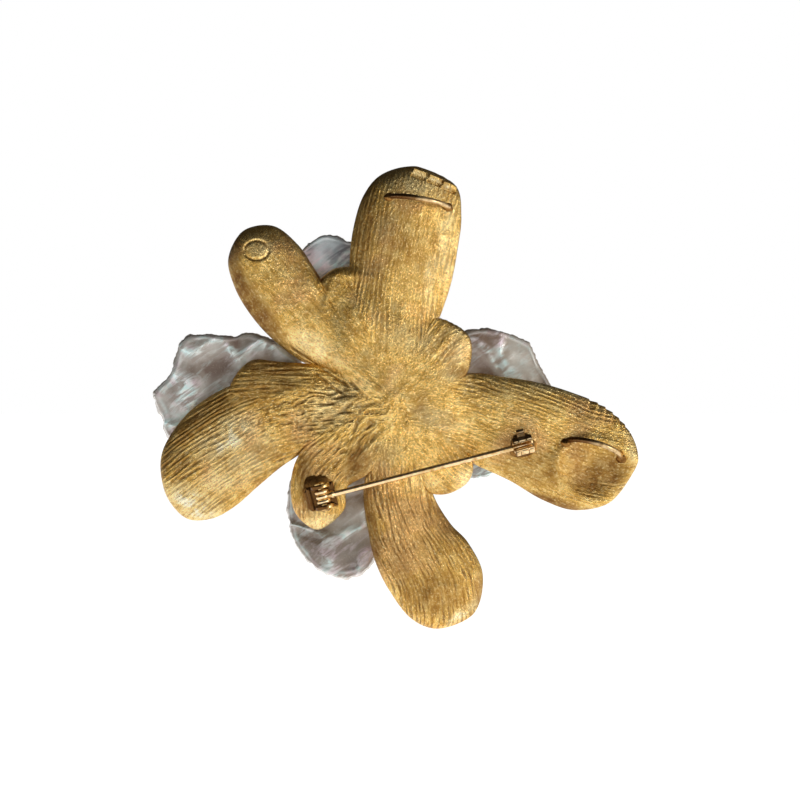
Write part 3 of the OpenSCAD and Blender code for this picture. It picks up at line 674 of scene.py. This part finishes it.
def baroque_pearl(name, outline, middle, half, seed, tone, glow=0.0):
    """A flat freshwater pearl: a wavy face, a raised lip and a thin ragged edge.

    tone goes from warm to cool, and glow adds to the painted highlight (gleam) on the back.
    """
    edge = closed_curve(outline, np.arange(420) / 420)
    middle = np.array(middle, float)
    fall = (np.pi * np.arange(1, 110) / 110)[:, None]  # from the middle of the back to that of the front
    out = np.sin(fall) ** 0.55
    level = np.abs(np.cos(fall))
    side = np.sign(np.cos(fall))
    near_edge = smoothstep(0.93, 1.0, out)
    ragged = np.clip(rough(on_plan(edge, seed, 0.55), seed, 3), -1, 1) - 0.2
    reach = np.hypot(*(edge - middle).T)
    plan = middle + (edge - middle) * (out * (1 + 0.34 * ragged / reach * near_edge))[..., None]
    p = on_plan(plan, side * 3 + seed)
    warp = xyz(noise(p * 0.12, seed + 1), noise(p * 0.12, seed + 2))
    waves = rough(p * 0.14 + warp * 0.6, seed + 4, 2)
    crest = (1 - np.abs(noise(p * 0.11 + warp * 0.7, seed + 5))) ** 2.6 * np.where(side > 0, 1.0, 0.5)
    fine = rough(p * 0.8, seed + 9, 2)
    lip = bump_at(out, 0.9 + 0.025 * noise(p * 0.3, seed + 12), 0.035) * np.where(side > 0, 1.0, 0.25)
    lip = lip * (0.6 + 0.5 * noise(p * 0.35, seed + 13))
    relief = 0.6 * waves + 0.75 * crest + 0.03 * fine + 0.3 * lip - 0.35
    lens = (1 - np.clip(out, 0, 1) ** 2.2) ** 0.7
    profile = np.where(side > 0, 0.8 * (0.42 + 0.58 * level**0.7), 0.06 + 0.76 * lens)
    thickness = half * profile * (1 - near_edge**3) + 0.12
    edge_wave = 0.5 * noise(on_plan(edge, seed, 0.25), seed + 15)
    z = PEARL_LEVEL + edge_wave * near_edge + side * (thickness + relief * (1 - 0.8 * near_edge**2))
    z = np.where(level < 0.03, PEARL_LEVEL + edge_wave, z)
    z = np.clip(z, PEARL_LEVEL - half - 0.25, PEARL_LEVEL + half + 0.05)
    values = {
        # fold sets the painted highlight: crests, some of the waves, and glow on the back or a fixed amount
        # on the front.
        "fold": crest + 0.3 * waves + np.where(side > 0, glow, 0.36),
        "lip": lip,
        "rim": out,
        "shade": ovals_at(plan, PEARL_SHADES),
    }
    values = {key: at_points(value, z.shape) for key, value in values.items()}
    values["tone"] = np.full(z.size + 2, tone)
    piece = make_piece(name, *shell(on_plan(plan, z)), slot="grey_nacre", replaces=(name,), values=values)
    piece.data.materials.append(GREY_NACRE)


# --- Materials ----------------------------------------------------------------------------------
class Nodes:
    """Adds and links the nodes of a material or a world."""

    def __init__(self, owner, shader, output):
        self.owner = owner
        owner.use_nodes = True
        self.tree = owner.node_tree
        self.tree.nodes.clear()
        self.shader = self.add(shader)
        self.link(self.shader.outputs[0], self.add(output).inputs[0])

    def add(self, kind, **settings):
        node = self.tree.nodes.new(kind)
        for key, value in settings.items():
            setattr(node, key, value)
        return node

    def link(self, value, socket):
        """Links another node's output to a socket, or sets the socket to a plain value."""
        if hasattr(value, "is_output"):
            self.tree.links.new(value, socket)
        else:
            socket.default_value = value

    def attribute(self, name, output="Fac"):
        return self.add("ShaderNodeAttribute", attribute_name=name).outputs[output]

    def math(self, operation, a, b, clamp=False):
        node = self.add("ShaderNodeMath", operation=operation, use_clamp=clamp)
        self.link(a, node.inputs[0])
        self.link(b, node.inputs[1])
        return node.outputs[0]

    def plus(self, a, b):
        return self.math("ADD", a, b)

    def times(self, a, b):
        return self.math("MULTIPLY", a, b)

    def mapped(self, vector, socket, value):
        """The vector after one setting of a Mapping node: its Scale or its Rotation."""
        node = self.add("ShaderNodeMapping")
        self.link(vector, node.inputs["Vector"])
        node.inputs[socket].default_value = value
        return node.outputs[0]

    def scaled(self, vector, scale):
        return self.mapped(vector, "Scale", scale)

    def place(self):
        """Object coordinates in millimetres."""
        return self.scaled(self.add("ShaderNodeTexCoord").outputs["Object"], (1 / MM, 1 / MM, 1 / MM))

    def noise(self, vector, scale, detail, rough, distort=0.0):
        node = self.add("ShaderNodeTexNoise")
        self.link(vector, node.inputs["Vector"])
        numbers = {"Scale": scale, "Detail": detail, "Roughness": rough, "Distortion": distort}
        for key, number in numbers.items():
            node.inputs[key].default_value = number
        return node.outputs["Fac"]

    def ramp(self, value, stops):
        node = self.add("ShaderNodeValToRGB")
        elements = node.color_ramp.elements
        while len(elements) < len(stops):
            elements.new(0.5)
        for element, (at, colour) in zip(elements, stops):
            element.position = at
            element.color = (*colour, 1.0)
        self.link(value, node.inputs[0])
        return node.outputs[0]

    def mix(self, factor, a, b):
        node = self.add("ShaderNodeMix", data_type="RGBA")
        self.link(factor, node.inputs["Factor"])
        self.link(a if hasattr(a, "is_output") else (*a, 1.0), node.inputs[6])
        self.link(b if hasattr(b, "is_output") else (*b, 1.0), node.inputs[7])
        return node.outputs[2]

    def span(self, value, low, high, to_low=0.0, to_high=1.0):
        """The value, with the range from low to high taken to the range from to_low to to_high."""
        node = self.add("ShaderNodeMapRange")
        self.link(value, node.inputs["Value"])
        for key, number in zip(("From Min", "From Max", "To Min", "To Max"), (low, high, to_low, to_high)):
            node.inputs[key].default_value = number
        return node.outputs[0]

    def bump(self, height, strength, distance):
        """A normal from a height, with the distance in metres."""
        node = self.add("ShaderNodeBump")
        node.inputs["Strength"].default_value = strength
        node.inputs["Distance"].default_value = distance
        self.link(height, node.inputs["Height"])
        return node.outputs[0]

    def set(self, **sockets):
        for key, value in sockets.items():
            self.link(value, self.shader.inputs[key.replace("_", " ")])


def surface(name):
    return Nodes(bpy.data.materials.new(name), "ShaderNodeBsdfPrincipled", "ShaderNodeOutputMaterial")


PATINA_SHADE_BROWN = (0.2, 0.088, 0.022)


def cast_gold():
    """Old gilding on a cast back: streaked and dulled in places, with patina and painted shade in its
    hollows, painted shade on flanks that face away from the light, and painted highlights and glints where
    the light catches.
    """
    n = surface("cast_gold")
    grain = n.attribute("grain", "Vector")
    place = n.place()
    streaks = n.noise(n.scaled(grain, (0.25, 1.6, 1)), 1.0, 4, 0.65)
    fine_streaks = n.noise(n.scaled(grain, (1.0, 4.6, 1)), 1.0, 3, 0.65)
    clouds = n.noise(place, 0.12, 3, 0.5)
    patches = n.noise(place, 0.5, 5, 0.65)
    sand = n.noise(n.scaled(grain, (2.1, 3.4, 1)), 1.0, 4, 0.75)
    tone = n.plus(n.times(streaks, 0.45), n.times(patches, 0.55))
    gold = n.ramp(tone, [(0.38, (0.52, 0.28, 0.055)), (0.5, (0.76, 0.47, 0.12)), (0.6, (0.92, 0.65, 0.23))])
    gold = n.mix(n.span(clouds, 0.52, 0.66, 0.0, 0.5), gold, (0.76, 0.43, 0.19))
    gold = n.mix(n.times(n.attribute("dull"), n.span(patches, 0.3, 0.6, 0.45, 0.95)), gold, (0.5, 0.4, 0.2))
    # Dark brown in the hollows of the lines and folds: patina and painted shade.
    shade_and_patina = n.times(n.span(n.attribute("hollow"), 0.1, 0.8), n.span(patches, 0.35, 0.62, 0.35, 0.85))
    # Painted shade: dark brown on the flanks and hollows that face away from the light, from the shade ovals.
    shade_amount = n.times(n.attribute("painted_shade"), n.span(patches, 0.36, 0.58, 1.0, 0.7))
    shade_and_patina = n.math("MAXIMUM", shade_and_patina, shade_amount)
    # Painted highlights: cream, and paler where strongest, where the light catches the back; bare holds their
    # strength.
    bare = n.times(n.attribute("painted_highlight"), n.span(patches, 0.38, 0.56, 0.35, 1.0))
    gold = n.mix(bare, gold, n.mix(n.span(bare, 0.7, 1.0), (1.0, 0.83, 0.44), (1.0, 0.92, 0.66)))
    shade_and_patina = n.times(shade_and_patina, n.span(bare, 0.0, 1.0, 1.0, 0.5))
    colour = n.mix(shade_and_patina, gold, PATINA_SHADE_BROWN)
    colour = n.mix(n.span(sand, 0.34, 0.46, 0.65, 0.0), colour, (0.26, 0.13, 0.035))
    # Painted glints: cream on the peaks of the sand, fewer in the painted shade.
    glints = n.times(n.span(sand, 0.55, 0.64, 0.0, 0.75), n.span(shade_amount, 0.0, 1.0, 1.0, 0.3))
    colour = n.mix(glints, colour, (1.0, 0.83, 0.42))
    roughness = n.plus(n.span(sand, 0.3, 0.7, 0.32, 0.2), n.times(shade_and_patina, 0.12))
    lines = n.times(n.times(fine_streaks, n.attribute("lined")), 0.9)
    normal = n.bump(n.plus(lines, sand), 0.85, 0.0002)
    n.set(Base_Color=colour, Metallic=1.0, Roughness=roughness, Normal=normal)
    return n.owner


def grey_nacre():
    """Streaky mother-of-pearl, with painted pale highlights on its folds and lip, painted brown shade in
    places and a dull rim.
    """
    n = surface("grey_nacre")
    place = n.place()
    clouds = n.noise(place, 0.13, 3, 0.5, 0.6)
    shimmer = n.noise(place, 0.17, 3, 0.5, 1.0)
    turned_place = n.mapped(place, "Rotation", (0, math.radians(35), 0))
    strands = n.noise(n.scaled(turned_place, (0.22, 1, 1.1)), 0.8, 5, 0.68, 0.6)
    grain = n.noise(place, 2.6, 4, 0.65, 0.3)
    warm = n.ramp(clouds, [(0.38, (0.26, 0.18, 0.13)), (0.5, (0.42, 0.35, 0.28)), (0.62, (0.56, 0.52, 0.45))])
    cool = n.ramp(clouds, [(0.38, (0.16, 0.16, 0.19)), (0.5, (0.34, 0.37, 0.41)), (0.62, (0.62, 0.7, 0.74))])
    # Painted shade: the base turns dark brown inside the shade ovals, and the painted highlight there is
    # weaker.
    shade = n.times(n.attribute("shade"), n.span(shimmer, 0.42, 0.6, 1.0, 0.7))
    base = n.mix(shade, n.mix(n.attribute("tone"), warm, cool), (0.12, 0.08, 0.045))
    tint = n.ramp(shimmer, [(0.36, (0.84, 0.7, 0.76)), (0.44, (0.96, 0.94, 0.95)), (0.52, (0.72, 0.95, 0.94)),
                            (0.6, (0.94, 1.0, 0.96)), (0.68, (0.84, 0.72, 0.78))])
    # The gleam is a painted highlight: a pale tint on the folds' crests and on the lip.
    gleam = n.times(n.span(n.attribute("fold"), 0.5, 0.95), n.span(strands, 0.42, 0.56, 0.1, 1.0))
    gleam = n.times(gleam, n.span(shade, 0.0, 1.0, 1.0, 0.25))
    gleam = n.math("MAXIMUM", gleam, n.times(n.attribute("lip"), 0.55), clamp=True)
    colour = n.mix(n.span(strands, 0.5, 0.68, 0.0, 0.3), base, tint)
    colour = n.mix(gleam, colour, tint)
    colour = n.mix(n.span(n.attribute("rim"), 0.95, 0.995, 0.0, 0.75), colour, (0.74, 0.66, 0.57))
    normal = n.bump(n.plus(n.times(grain, 0.5), n.times(strands, 0.9)), 0.5, 0.00014)
    n.set(Base_Color=colour, Roughness=n.span(grain, 0.3, 0.7, 0.17, 0.31), Normal=normal,
          IOR=1.6, Coat_Weight=0.45, Coat_Roughness=0.12)
    return n.owner


def bright_gold(name, colour_low, colour_high, roughness):
    """Polished or plated metal for the wire and the findings, with faint wear, and painted darker brown where
    a piece asks: painted shade on the hinge and catch.
    """
    n = surface(name)
    place = n.place()
    clouds = n.noise(place, 0.9, 3, 0.55)
    scratches = n.noise(n.scaled(place, (1.0, 6.0, 1.0)), 2.0, 3, 0.6)
    colour = n.mix(n.span(clouds, 0.45, 0.7), colour_high, colour_low)
    # Darkened towards brown where the piece asks: painted shade on the hinge and catch, a darker first part
    # on the bails.
    colour = n.mix(n.times(n.attribute("painted_dark"), 0.95), colour, (0.12, 0.05, 0.014))
    rough_value = n.span(scratches, 0.3, 0.7, roughness * 0.8, roughness * 1.7)
    n.set(Base_Color=colour, Metallic=1.0, Roughness=rough_value, Normal=n.bump(scratches, 0.25, 0.00002))
    return n.owner


def cream_nacre():
    """The button pearl's smooth pale nacre."""
    n = surface("cream_nacre")
    place = n.place()
    clouds = n.noise(place, 0.3, 3, 0.5, 0.8)
    grain = n.noise(place, 3.0, 2, 0.5)
    colour = n.ramp(clouds, [(0.35, (0.82, 0.7, 0.6)), (0.5, (0.9, 0.82, 0.73)), (0.68, (0.92, 0.87, 0.84))])
    normal = n.bump(grain, 0.15, 0.00004)
    n.set(Base_Color=colour, Roughness=n.span(grain, 0.3, 0.7, 0.14, 0.26), Normal=normal,
          IOR=1.6, Coat_Weight=0.6, Coat_Roughness=0.08, Thin_Film_Thickness=380.0, Thin_Film_IOR=1.5)
    return n.owner


CAST_GOLD = cast_gold()
GREY_NACRE = grey_nacre()
CREAM_NACRE = cream_nacre()
WIRE_GOLD = bright_gold("wire_gold", (0.55, 0.33, 0.11), (0.92, 0.7, 0.4), 0.17)
FINDING_GOLD = bright_gold("finding_gold", (0.26, 0.12, 0.03), (0.82, 0.56, 0.22), 0.17)
BAIL_GOLD = bright_gold("bail_gold", (0.3, 0.17, 0.06), (0.74, 0.53, 0.28), 0.24)
SOLDER_GOLD = bright_gold("solder_gold", (0.12, 0.045, 0.012), (0.3, 0.15, 0.04), 0.26)

for casting_name, casting_facts in CASTINGS.items():
    casting(casting_name, casting_facts)
back_web()
for pearl_name, pearl_facts in PEARLS.items():
    baroque_pearl(pearl_name, **pearl_facts)


# --- Findings -----------------------------------------------------------------------------------
STEM_ANGLE = 14.4
CATCH_AT = 37.1


def pin_plan(points):
    """The pin's own frame (X along the stem from the rivet, Y across it, Z out of the back) to the plan."""
    p = np.asarray(points, float)
    return xyz(*turned(p[..., 0], p[..., 1], -STEM_ANGLE), p[..., 2]) + RIVET_PLAN


def merge(shells):
    """The points and faces of several shells as one piece."""
    points, faces, start = [], [], 0
    for shell_points, shell_faces in shells:
        points.append(shell_points)
        faces += [tuple(i + start for i in face) for face in shell_faces]
        start += len(shell_points)
    return np.vstack(points), faces


def resample(corners, n):
    """n evenly spaced points round a closed outline."""
    p = np.array(list(corners) + [corners[0]], float)
    far = np.concatenate([[0], np.cumsum(np.hypot(*np.diff(p, axis=0).T))])
    at = np.linspace(0, far[-1], n, endpoint=False)
    return np.stack([np.interp(at, far, p[:, 0]), np.interp(at, far, p[:, 1])], axis=-1)


def oval(x, y, rx, ry, power=2.0, n=72):
    """An oval outline, squarer as its power goes up."""
    t = np.arange(n) / n * 2 * math.pi
    c, s = np.cos(t), np.sin(t)
    reach_x, reach_y = (np.sign(way) * np.abs(way) ** (2 / power) for way in (c, s))
    return np.stack([x + rx * reach_x, y + ry * reach_y], -1)


def slab(outline, low, high, edge, order):
    """A plate with round edges: an outline in two of the pin's axes, from low to high along the third."""
    outline = np.asarray(outline, float)
    tangent = np.roll(outline, -1, axis=0) - np.roll(outline, 1, axis=0)
    inward = np.stack([-tangent[:, 1], tangent[:, 0]], -1) / np.maximum(np.hypot(*tangent.T), 1e-9)[:, None]
    x, y = outline.T
    if np.sum(x * np.roll(y, -1) - y * np.roll(x, -1)) < 0:
        inward = -inward
    steps = [math.radians(a) for a in (0, 22, 45, 68, 90)]
    levels = [(low + edge * (1 - math.sin(a)), edge * (1 - math.cos(a))) for a in reversed(steps)]
    levels += [(high - edge * (1 - math.sin(a)), edge * (1 - math.cos(a))) for a in steps]
    levels = [(low, edge * 1.5), *levels, (high, edge * 1.5)]
    rings = np.zeros((len(levels), len(outline), 3))
    for ring, (level, inset) in zip(rings, levels):
        moved = outline + inward * inset
        ring[:, order[0]], ring[:, order[1]], ring[:, order[2]] = moved[:, 0], moved[:, 1], level
    return shell(rings)


BEAD_DEPTH = 0.17


def slotted_ring(inner, outer, low, high, slot, beads=0):
    """A ring round the catch's axis, open to the back along a slot, with a number of beads round its rim."""
    middle_r, middle_x = (inner + outer) / 2, (low + high) / 2
    start = math.asin(slot / middle_r)
    turn = np.linspace(start, 2 * math.pi - start, 220)
    shape = oval(0, 0, (outer - inner) / 2, (high - low) / 2, 7.0, 44)
    inside = np.abs(shape[:, 1]) / ((high - low) / 2) * 0.9
    rings = []
    for i, t in enumerate(turn):
        end = min(i, len(turn) - 1 - i)
        shrink = 1 - 0.12 * max(0.0, 1 - end / 4) ** 2
        gap = BEAD_DEPTH * (0.5 - 0.5 * math.cos(beads * t))
        r = middle_r + shape[:, 0] * shrink
        r = r - gap * smoothstep(middle_r, outer, r) * smoothstep(1.0, 0.6, inside)
        rings.append(xyz(CATCH_AT + middle_x + shape[:, 1] * shrink, r * math.sin(t), r * math.cos(t)))
    return shell(rings)


def wire(path, radii):
    """A round wire along a path."""
    turn = np.arange(28) / 28 * 2 * math.pi
    path = np.asarray(path, float)
    ahead = np.gradient(path, axis=0)
    ahead /= np.linalg.norm(ahead, axis=1)[:, None]
    up = np.array([0.3, 0.5, 0.8])
    rings = []
    for place, way, radius in zip(path, ahead, radii):
        up = up - way * np.dot(up, way)
        up /= np.linalg.norm(up)
        side = np.cross(way, up)
        rings.append(place + radius * (np.cos(turn)[:, None] * up + np.sin(turn)[:, None] * side))
    return shell(rings)


def back_level(plan):
    """The castings' back, without its fine relief."""
    return joined_back(plan, sample(TOP, plan))[0]


def mound(x, y, rx, ry, angle, height, seed):
    """A pool of solder lying on the castings."""
    turn = np.arange(56) / 56 * 2 * math.pi
    wobble = 1 + 0.14 * noise(xyz(np.cos(turn) * 1.3, np.sin(turn) * 1.3, seed), seed)
    rings = []
    for r, top in [(r, False) for r in (0.15, 0.5, 0.8, 1.0)] + [(1 - i / 16, True) for i in range(16)]:
        reach = turned(rx * r * wobble * np.cos(turn), ry * r * wobble * np.sin(turn), -angle)
        plan = np.stack(reach, -1) + (x, y)
        lumps = 0.07 * noise(on_plan(plan, seed, 1.4), seed + 1) * (1 - r)
        lift = -0.12 + (height + 0.12) * (1 - r * r) ** 0.75 + lumps if top else -0.12 - 0.5 * (1 - r)
        rings.append(on_plan(plan, back_level(plan) + lift))
    return shell(rings)


def finding(name, shells, material, body="flower", slot="gilt_finding", replaces=(), dark=None):
    """A piece from closed shells in the plan. dark is how much darker each of its points is painted."""
    points, faces = merge(shells)
    values = {} if dark is None else {"painted_dark": dark}
    piece = make_piece(name, points, faces, body, slot, values, replaces)
    piece.data.materials.append(material)


def pin_finding(name, shells, material, dark, body="flower"):
    """A piece of the pin from closed shells in its own frame, where dark gives the painted shade at places.
    """
    points, faces = merge(shells)
    finding(name, [(pin_plan(points), faces)], material, body, replaces=(name,), dark=dark(*points.T))


def solder(name, mounds):
    finding(name, [mound(*facts) for facts in mounds], SOLDER_GOLD)


# The axes of a slab's outline and of its thickness
ALONG_X, ALONG_Y, ALONG_Z = (1, 2, 0), (0, 2, 1), (0, 1, 2)
EAR_RADIUS = 1.74
EAR_AT = 1.875
EAR_HALF = 0.375
FOOT_LOW = -2.75


def make_hinge():
    """A folded U bracket with two round ears, standing in a pool of solder."""
    arc = [turned(EAR_RADIUS, 0, -a) for a in range(0, 181, 6)]
    ear = resample([*arc, (-EAR_RADIUS, -2.3), (EAR_RADIUS, -2.3)], 110)
    base = resample([(-3.1, -1.5), (-2.5, -2.2), (2.3, -2.25), (2.35, 2.25), (-2.5, 2.2), (-3.1, 1.5)], 96)
    back_wall = resample([(-2.15, -2.6), (2.15, -2.6), (2.1, -0.5), (-2.1, -0.5)], 60)
    shells = [slab(ear, side - EAR_HALF, side + EAR_HALF, 0.2, ALONG_Y) for side in (-EAR_AT, EAR_AT)]
    shells += [slab(base, FOOT_LOW, -1.98, 0.22, ALONG_Z), slab(back_wall, -2.6, -1.9, 0.2, ALONG_X)]
    # The bracket is painted with shade: darker towards its closed left end and low down by its foot.
    pin_finding("hinge_bracket", shells, FINDING_GOLD,
                dark=lambda x, y, z: np.maximum(smoothstep(1.3, 0.1, x), smoothstep(-1.6, -2.0, z)))
    solder("hinge_solder", [(-13.4, -16.7, 3.2, 2.8, 14, 0.5, 71)])


def make_catch():
    """A safety catch: two beaded end rings on a foot, and a turning sleeve with its band and thumb tab."""
    ends = ((-1.75, -0.76), (0.76, 1.75))
    shells = [slotted_ring(1.2, 1.7, low, high, 0.58, 18) for low, high in ends]
    web = resample([(-0.95, -2.5), (0.95, -2.5), (0.8, -1.3), (-0.8, -1.3)], 48)
    shells += [slab(web, CATCH_AT + low, CATCH_AT + high, 0.16, ALONG_X) for low, high in ends]
    shells += [slab(oval(CATCH_AT, 0, 2.1, 2.1), FOOT_LOW, -2.15, 0.2, ALONG_Z),
               slab(oval(CATCH_AT, 0, 1.75, 1.0, 5), -2.7, -1.95, 0.15, ALONG_Z)]
    # The housing is painted with shade: darker on its left end ring, along its top side and low down by its
    # foot.
    pin_finding("catch_housing", shells, WIRE_GOLD,
                dark=lambda x, y, z: np.maximum.reduce([smoothstep(CATCH_AT - 1.4, CATCH_AT - 1.65, x),
                                                        smoothstep(0.7, 1.2, y), smoothstep(-1.4, -2.0, z)]))
    tab = resample([(1.1, -0.34), (2.45, -0.3), (2.45, 0.3), (1.1, 0.34)], 48)
    shells = [slotted_ring(0.72, 1.15, -1.85, 1.85, 0.56),
              slotted_ring(1.08, 1.66, -0.7, 0.7, 0.58, 18),
              slab(tab, CATCH_AT - 0.68, CATCH_AT + 0.68, 0.14, ALONG_X),
              slab(oval(2.5, 0, 0.46, 0.46, n=40), CATCH_AT - 0.7, CATCH_AT + 0.7, 0.16, ALONG_X)]
    # The sleeve is painted with shade along its top side.
    pin_finding("catch_sleeve", shells, WIRE_GOLD, body="sleeve",
                dark=lambda x, y, z: 0.8 * smoothstep(0.7, 1.2, y) * smoothstep(1.7, 1.5, z))
    x, y, _ = pin_plan((CATCH_AT, 0, 0))
    solder("catch_solder", [(x, y, 2.6, 2.4, 14, 0.36, 73)])


BAIL_RISE = 4.7
BAIL_SUNK = 0.45
BAIL_RADIUS = 0.484
BAILS = {  # its two feet, the level of its feet and how far it leans, in degrees
    "bail_loop_top": ((-0.9, 36), (10.2, 34.1), -2.0, 5),
    "bail_loop_right": ((30.9, -8.2), (41.3, -11.3), -1.4, 18),
}


def make_bail(name, start, end, level, lean):
    """A wire arch for a chain, with a blob of solder at each foot."""
    start, end = np.array(start, float), np.array(end, float)
    chord = np.linalg.norm(end - start) / 2
    radius = (chord**2 + BAIL_RISE**2) / (2 * BAIL_RISE)
    reach = math.asin(min(1.0, chord / radius))
    turn = np.linspace(-reach, reach, 90)
    height = radius * np.cos(turn) + BAIL_RISE - radius
    way = (end - start) / (2 * chord)
    up = np.array([-way[1], way[0]])
    plan = (start + end) / 2 + np.outer(radius * np.sin(turn), way)
    plan = plan + np.outer(height * math.sin(math.radians(lean)), up)
    lowest = back_level(plan) - BAIL_SUNK
    path = on_plan(plan, np.maximum(level + height * math.cos(math.radians(lean)), lowest))
    bare = wire(path, BAIL_RADIUS + 0.015 * noise(xyz(turn * 9, 0.0, level), 77))
    # The wire is painted darker from its first foot, fading out between a third and three fifths of the way
    # along.
    dark = smoothstep(0.62, 0.3, (bare[0][:, :2] - start) @ way / (2 * chord))
    finding(name, [bare], BAIL_GOLD, slot="gilt_wire", replaces=(name,), dark=dark)
    angle = math.degrees(math.atan2(*way[::-1]))
    solder(name.replace("loop", "solder"), [(*(start + way * 0.2), 0.95, 0.8, angle, 0.4, 80),
                                            (*(end - way * 0.2), 0.95, 0.8, angle, 0.4, 81)])


make_hinge()
make_catch()
for bail_name, bail_facts in BAILS.items():
    make_bail(bail_name, *bail_facts)


# --- Carried-over CAD nodes ---------------------------------------------------------------------
def cad_material(node):
    """The material of a CAD node that is shown as it is, or None for one that a piece replaces."""
    if node.startswith("peg_") or node in ("centre_peg", "stamens", "pin_stem"):
        return WIRE_GOLD
    return {"hinge_rivet": FINDING_GOLD, "centre_cup": FINDING_GOLD, "button_pearl": CREAM_NACRE}.get(node)


for node_name, node_object in frame["nodes"].items():
    if cad_material(node_name):
        node_object.data.materials.clear()
        node_object.data.materials.append(cad_material(node_name))


# --- Stage and light ----------------------------------------------------------------------------
FLOOR_GAP = 0.0004
FLOOR_HALF = 6.0


def pale_floor():
    n = surface("floor_pale")
    soft = n.noise(n.place(), 0.01, 2, 0.5)
    n.set(Base_Color=n.mix(soft, (0.9, 0.9, 0.9), (0.94, 0.94, 0.94)), Roughness=0.9,
          Emission_Color=(1.0, 1.0, 1.0, 1.0), Emission_Strength=1.05)
    return n.owner


def make_stage():
    """A plain pale floor under the brooch."""
    z = cad_low[2] - FLOOR_GAP
    h = FLOOR_HALF
    mesh = bpy.data.meshes.new("floor")
    mesh.from_pydata([(-h, -h, z), (h, -h, z), (h, h, z), (-h, h, z)], [], [(0, 1, 2, 3)])
    mesh.materials.append(pale_floor())
    floor = bpy.data.objects.new("floor", mesh)
    bpy.context.scene.collection.objects.link(floor)


KEY_PLACE = (0.5, -0.3, 0.02)
KEY_SIDE = 0.08
KEY_POWER = 0.75


def make_key_light():
    """A small soft lamp behind the brooch to the right, aimed at it."""
    data = bpy.data.lights.new("key", "AREA")
    data.shape = "RECTANGLE"
    data.size = data.size_y = KEY_SIDE
    data.energy = KEY_POWER
    data.color = (1.0, 0.98, 0.94)
    lamp = bpy.data.objects.new("key", data)
    lamp.location = KEY_PLACE
    lamp.rotation_mode = "QUATERNION"
    lamp.rotation_quaternion = (-Vector(KEY_PLACE)).to_track_quat("-Z", "Y")
    bpy.context.scene.collection.objects.link(lamp)


# The studio round the brooch: bright from the right, the camera's side and below, and dark opposite
LIGHT_FROM = (0.75, -0.3, -0.45)
STUDIO = ((0.0, 0.03), (0.4, 0.06), (0.6, 0.15), (0.72, 0.34), (0.84, 0.85), (1.0, 1.5))


def make_world():
    """The studio's light, with plain white where the camera sees past the brooch."""
    world = bpy.data.worlds.new("studio")
    n = Nodes(world, "ShaderNodeMixShader", "ShaderNodeOutputWorld")
    dot = n.add("ShaderNodeVectorMath", operation="DOT_PRODUCT")
    n.link(n.add("ShaderNodeTexCoord").outputs["Generated"], dot.inputs[0])
    n.link(Vector(LIGHT_FROM).normalized(), dot.inputs[1])
    towards = n.span(dot.outputs["Value"], -1.0, 1.0)
    light = n.ramp(towards, [(at, (level, level * 0.985, level * 0.96)) for at, level in STUDIO])
    n.link(n.add("ShaderNodeLightPath").outputs["Is Camera Ray"], n.shader.inputs[0])
    for colour, socket in ((light, n.shader.inputs[1]), ((1, 1, 1, 1), n.shader.inputs[2])):
        background = n.add("ShaderNodeBackground")
        n.link(colour, background.inputs["Color"])
        n.link(background.outputs[0], socket)
    bpy.context.scene.world = world


make_stage()
make_world()
make_key_light()
bpy.context.scene.view_settings.view_transform = "Standard"
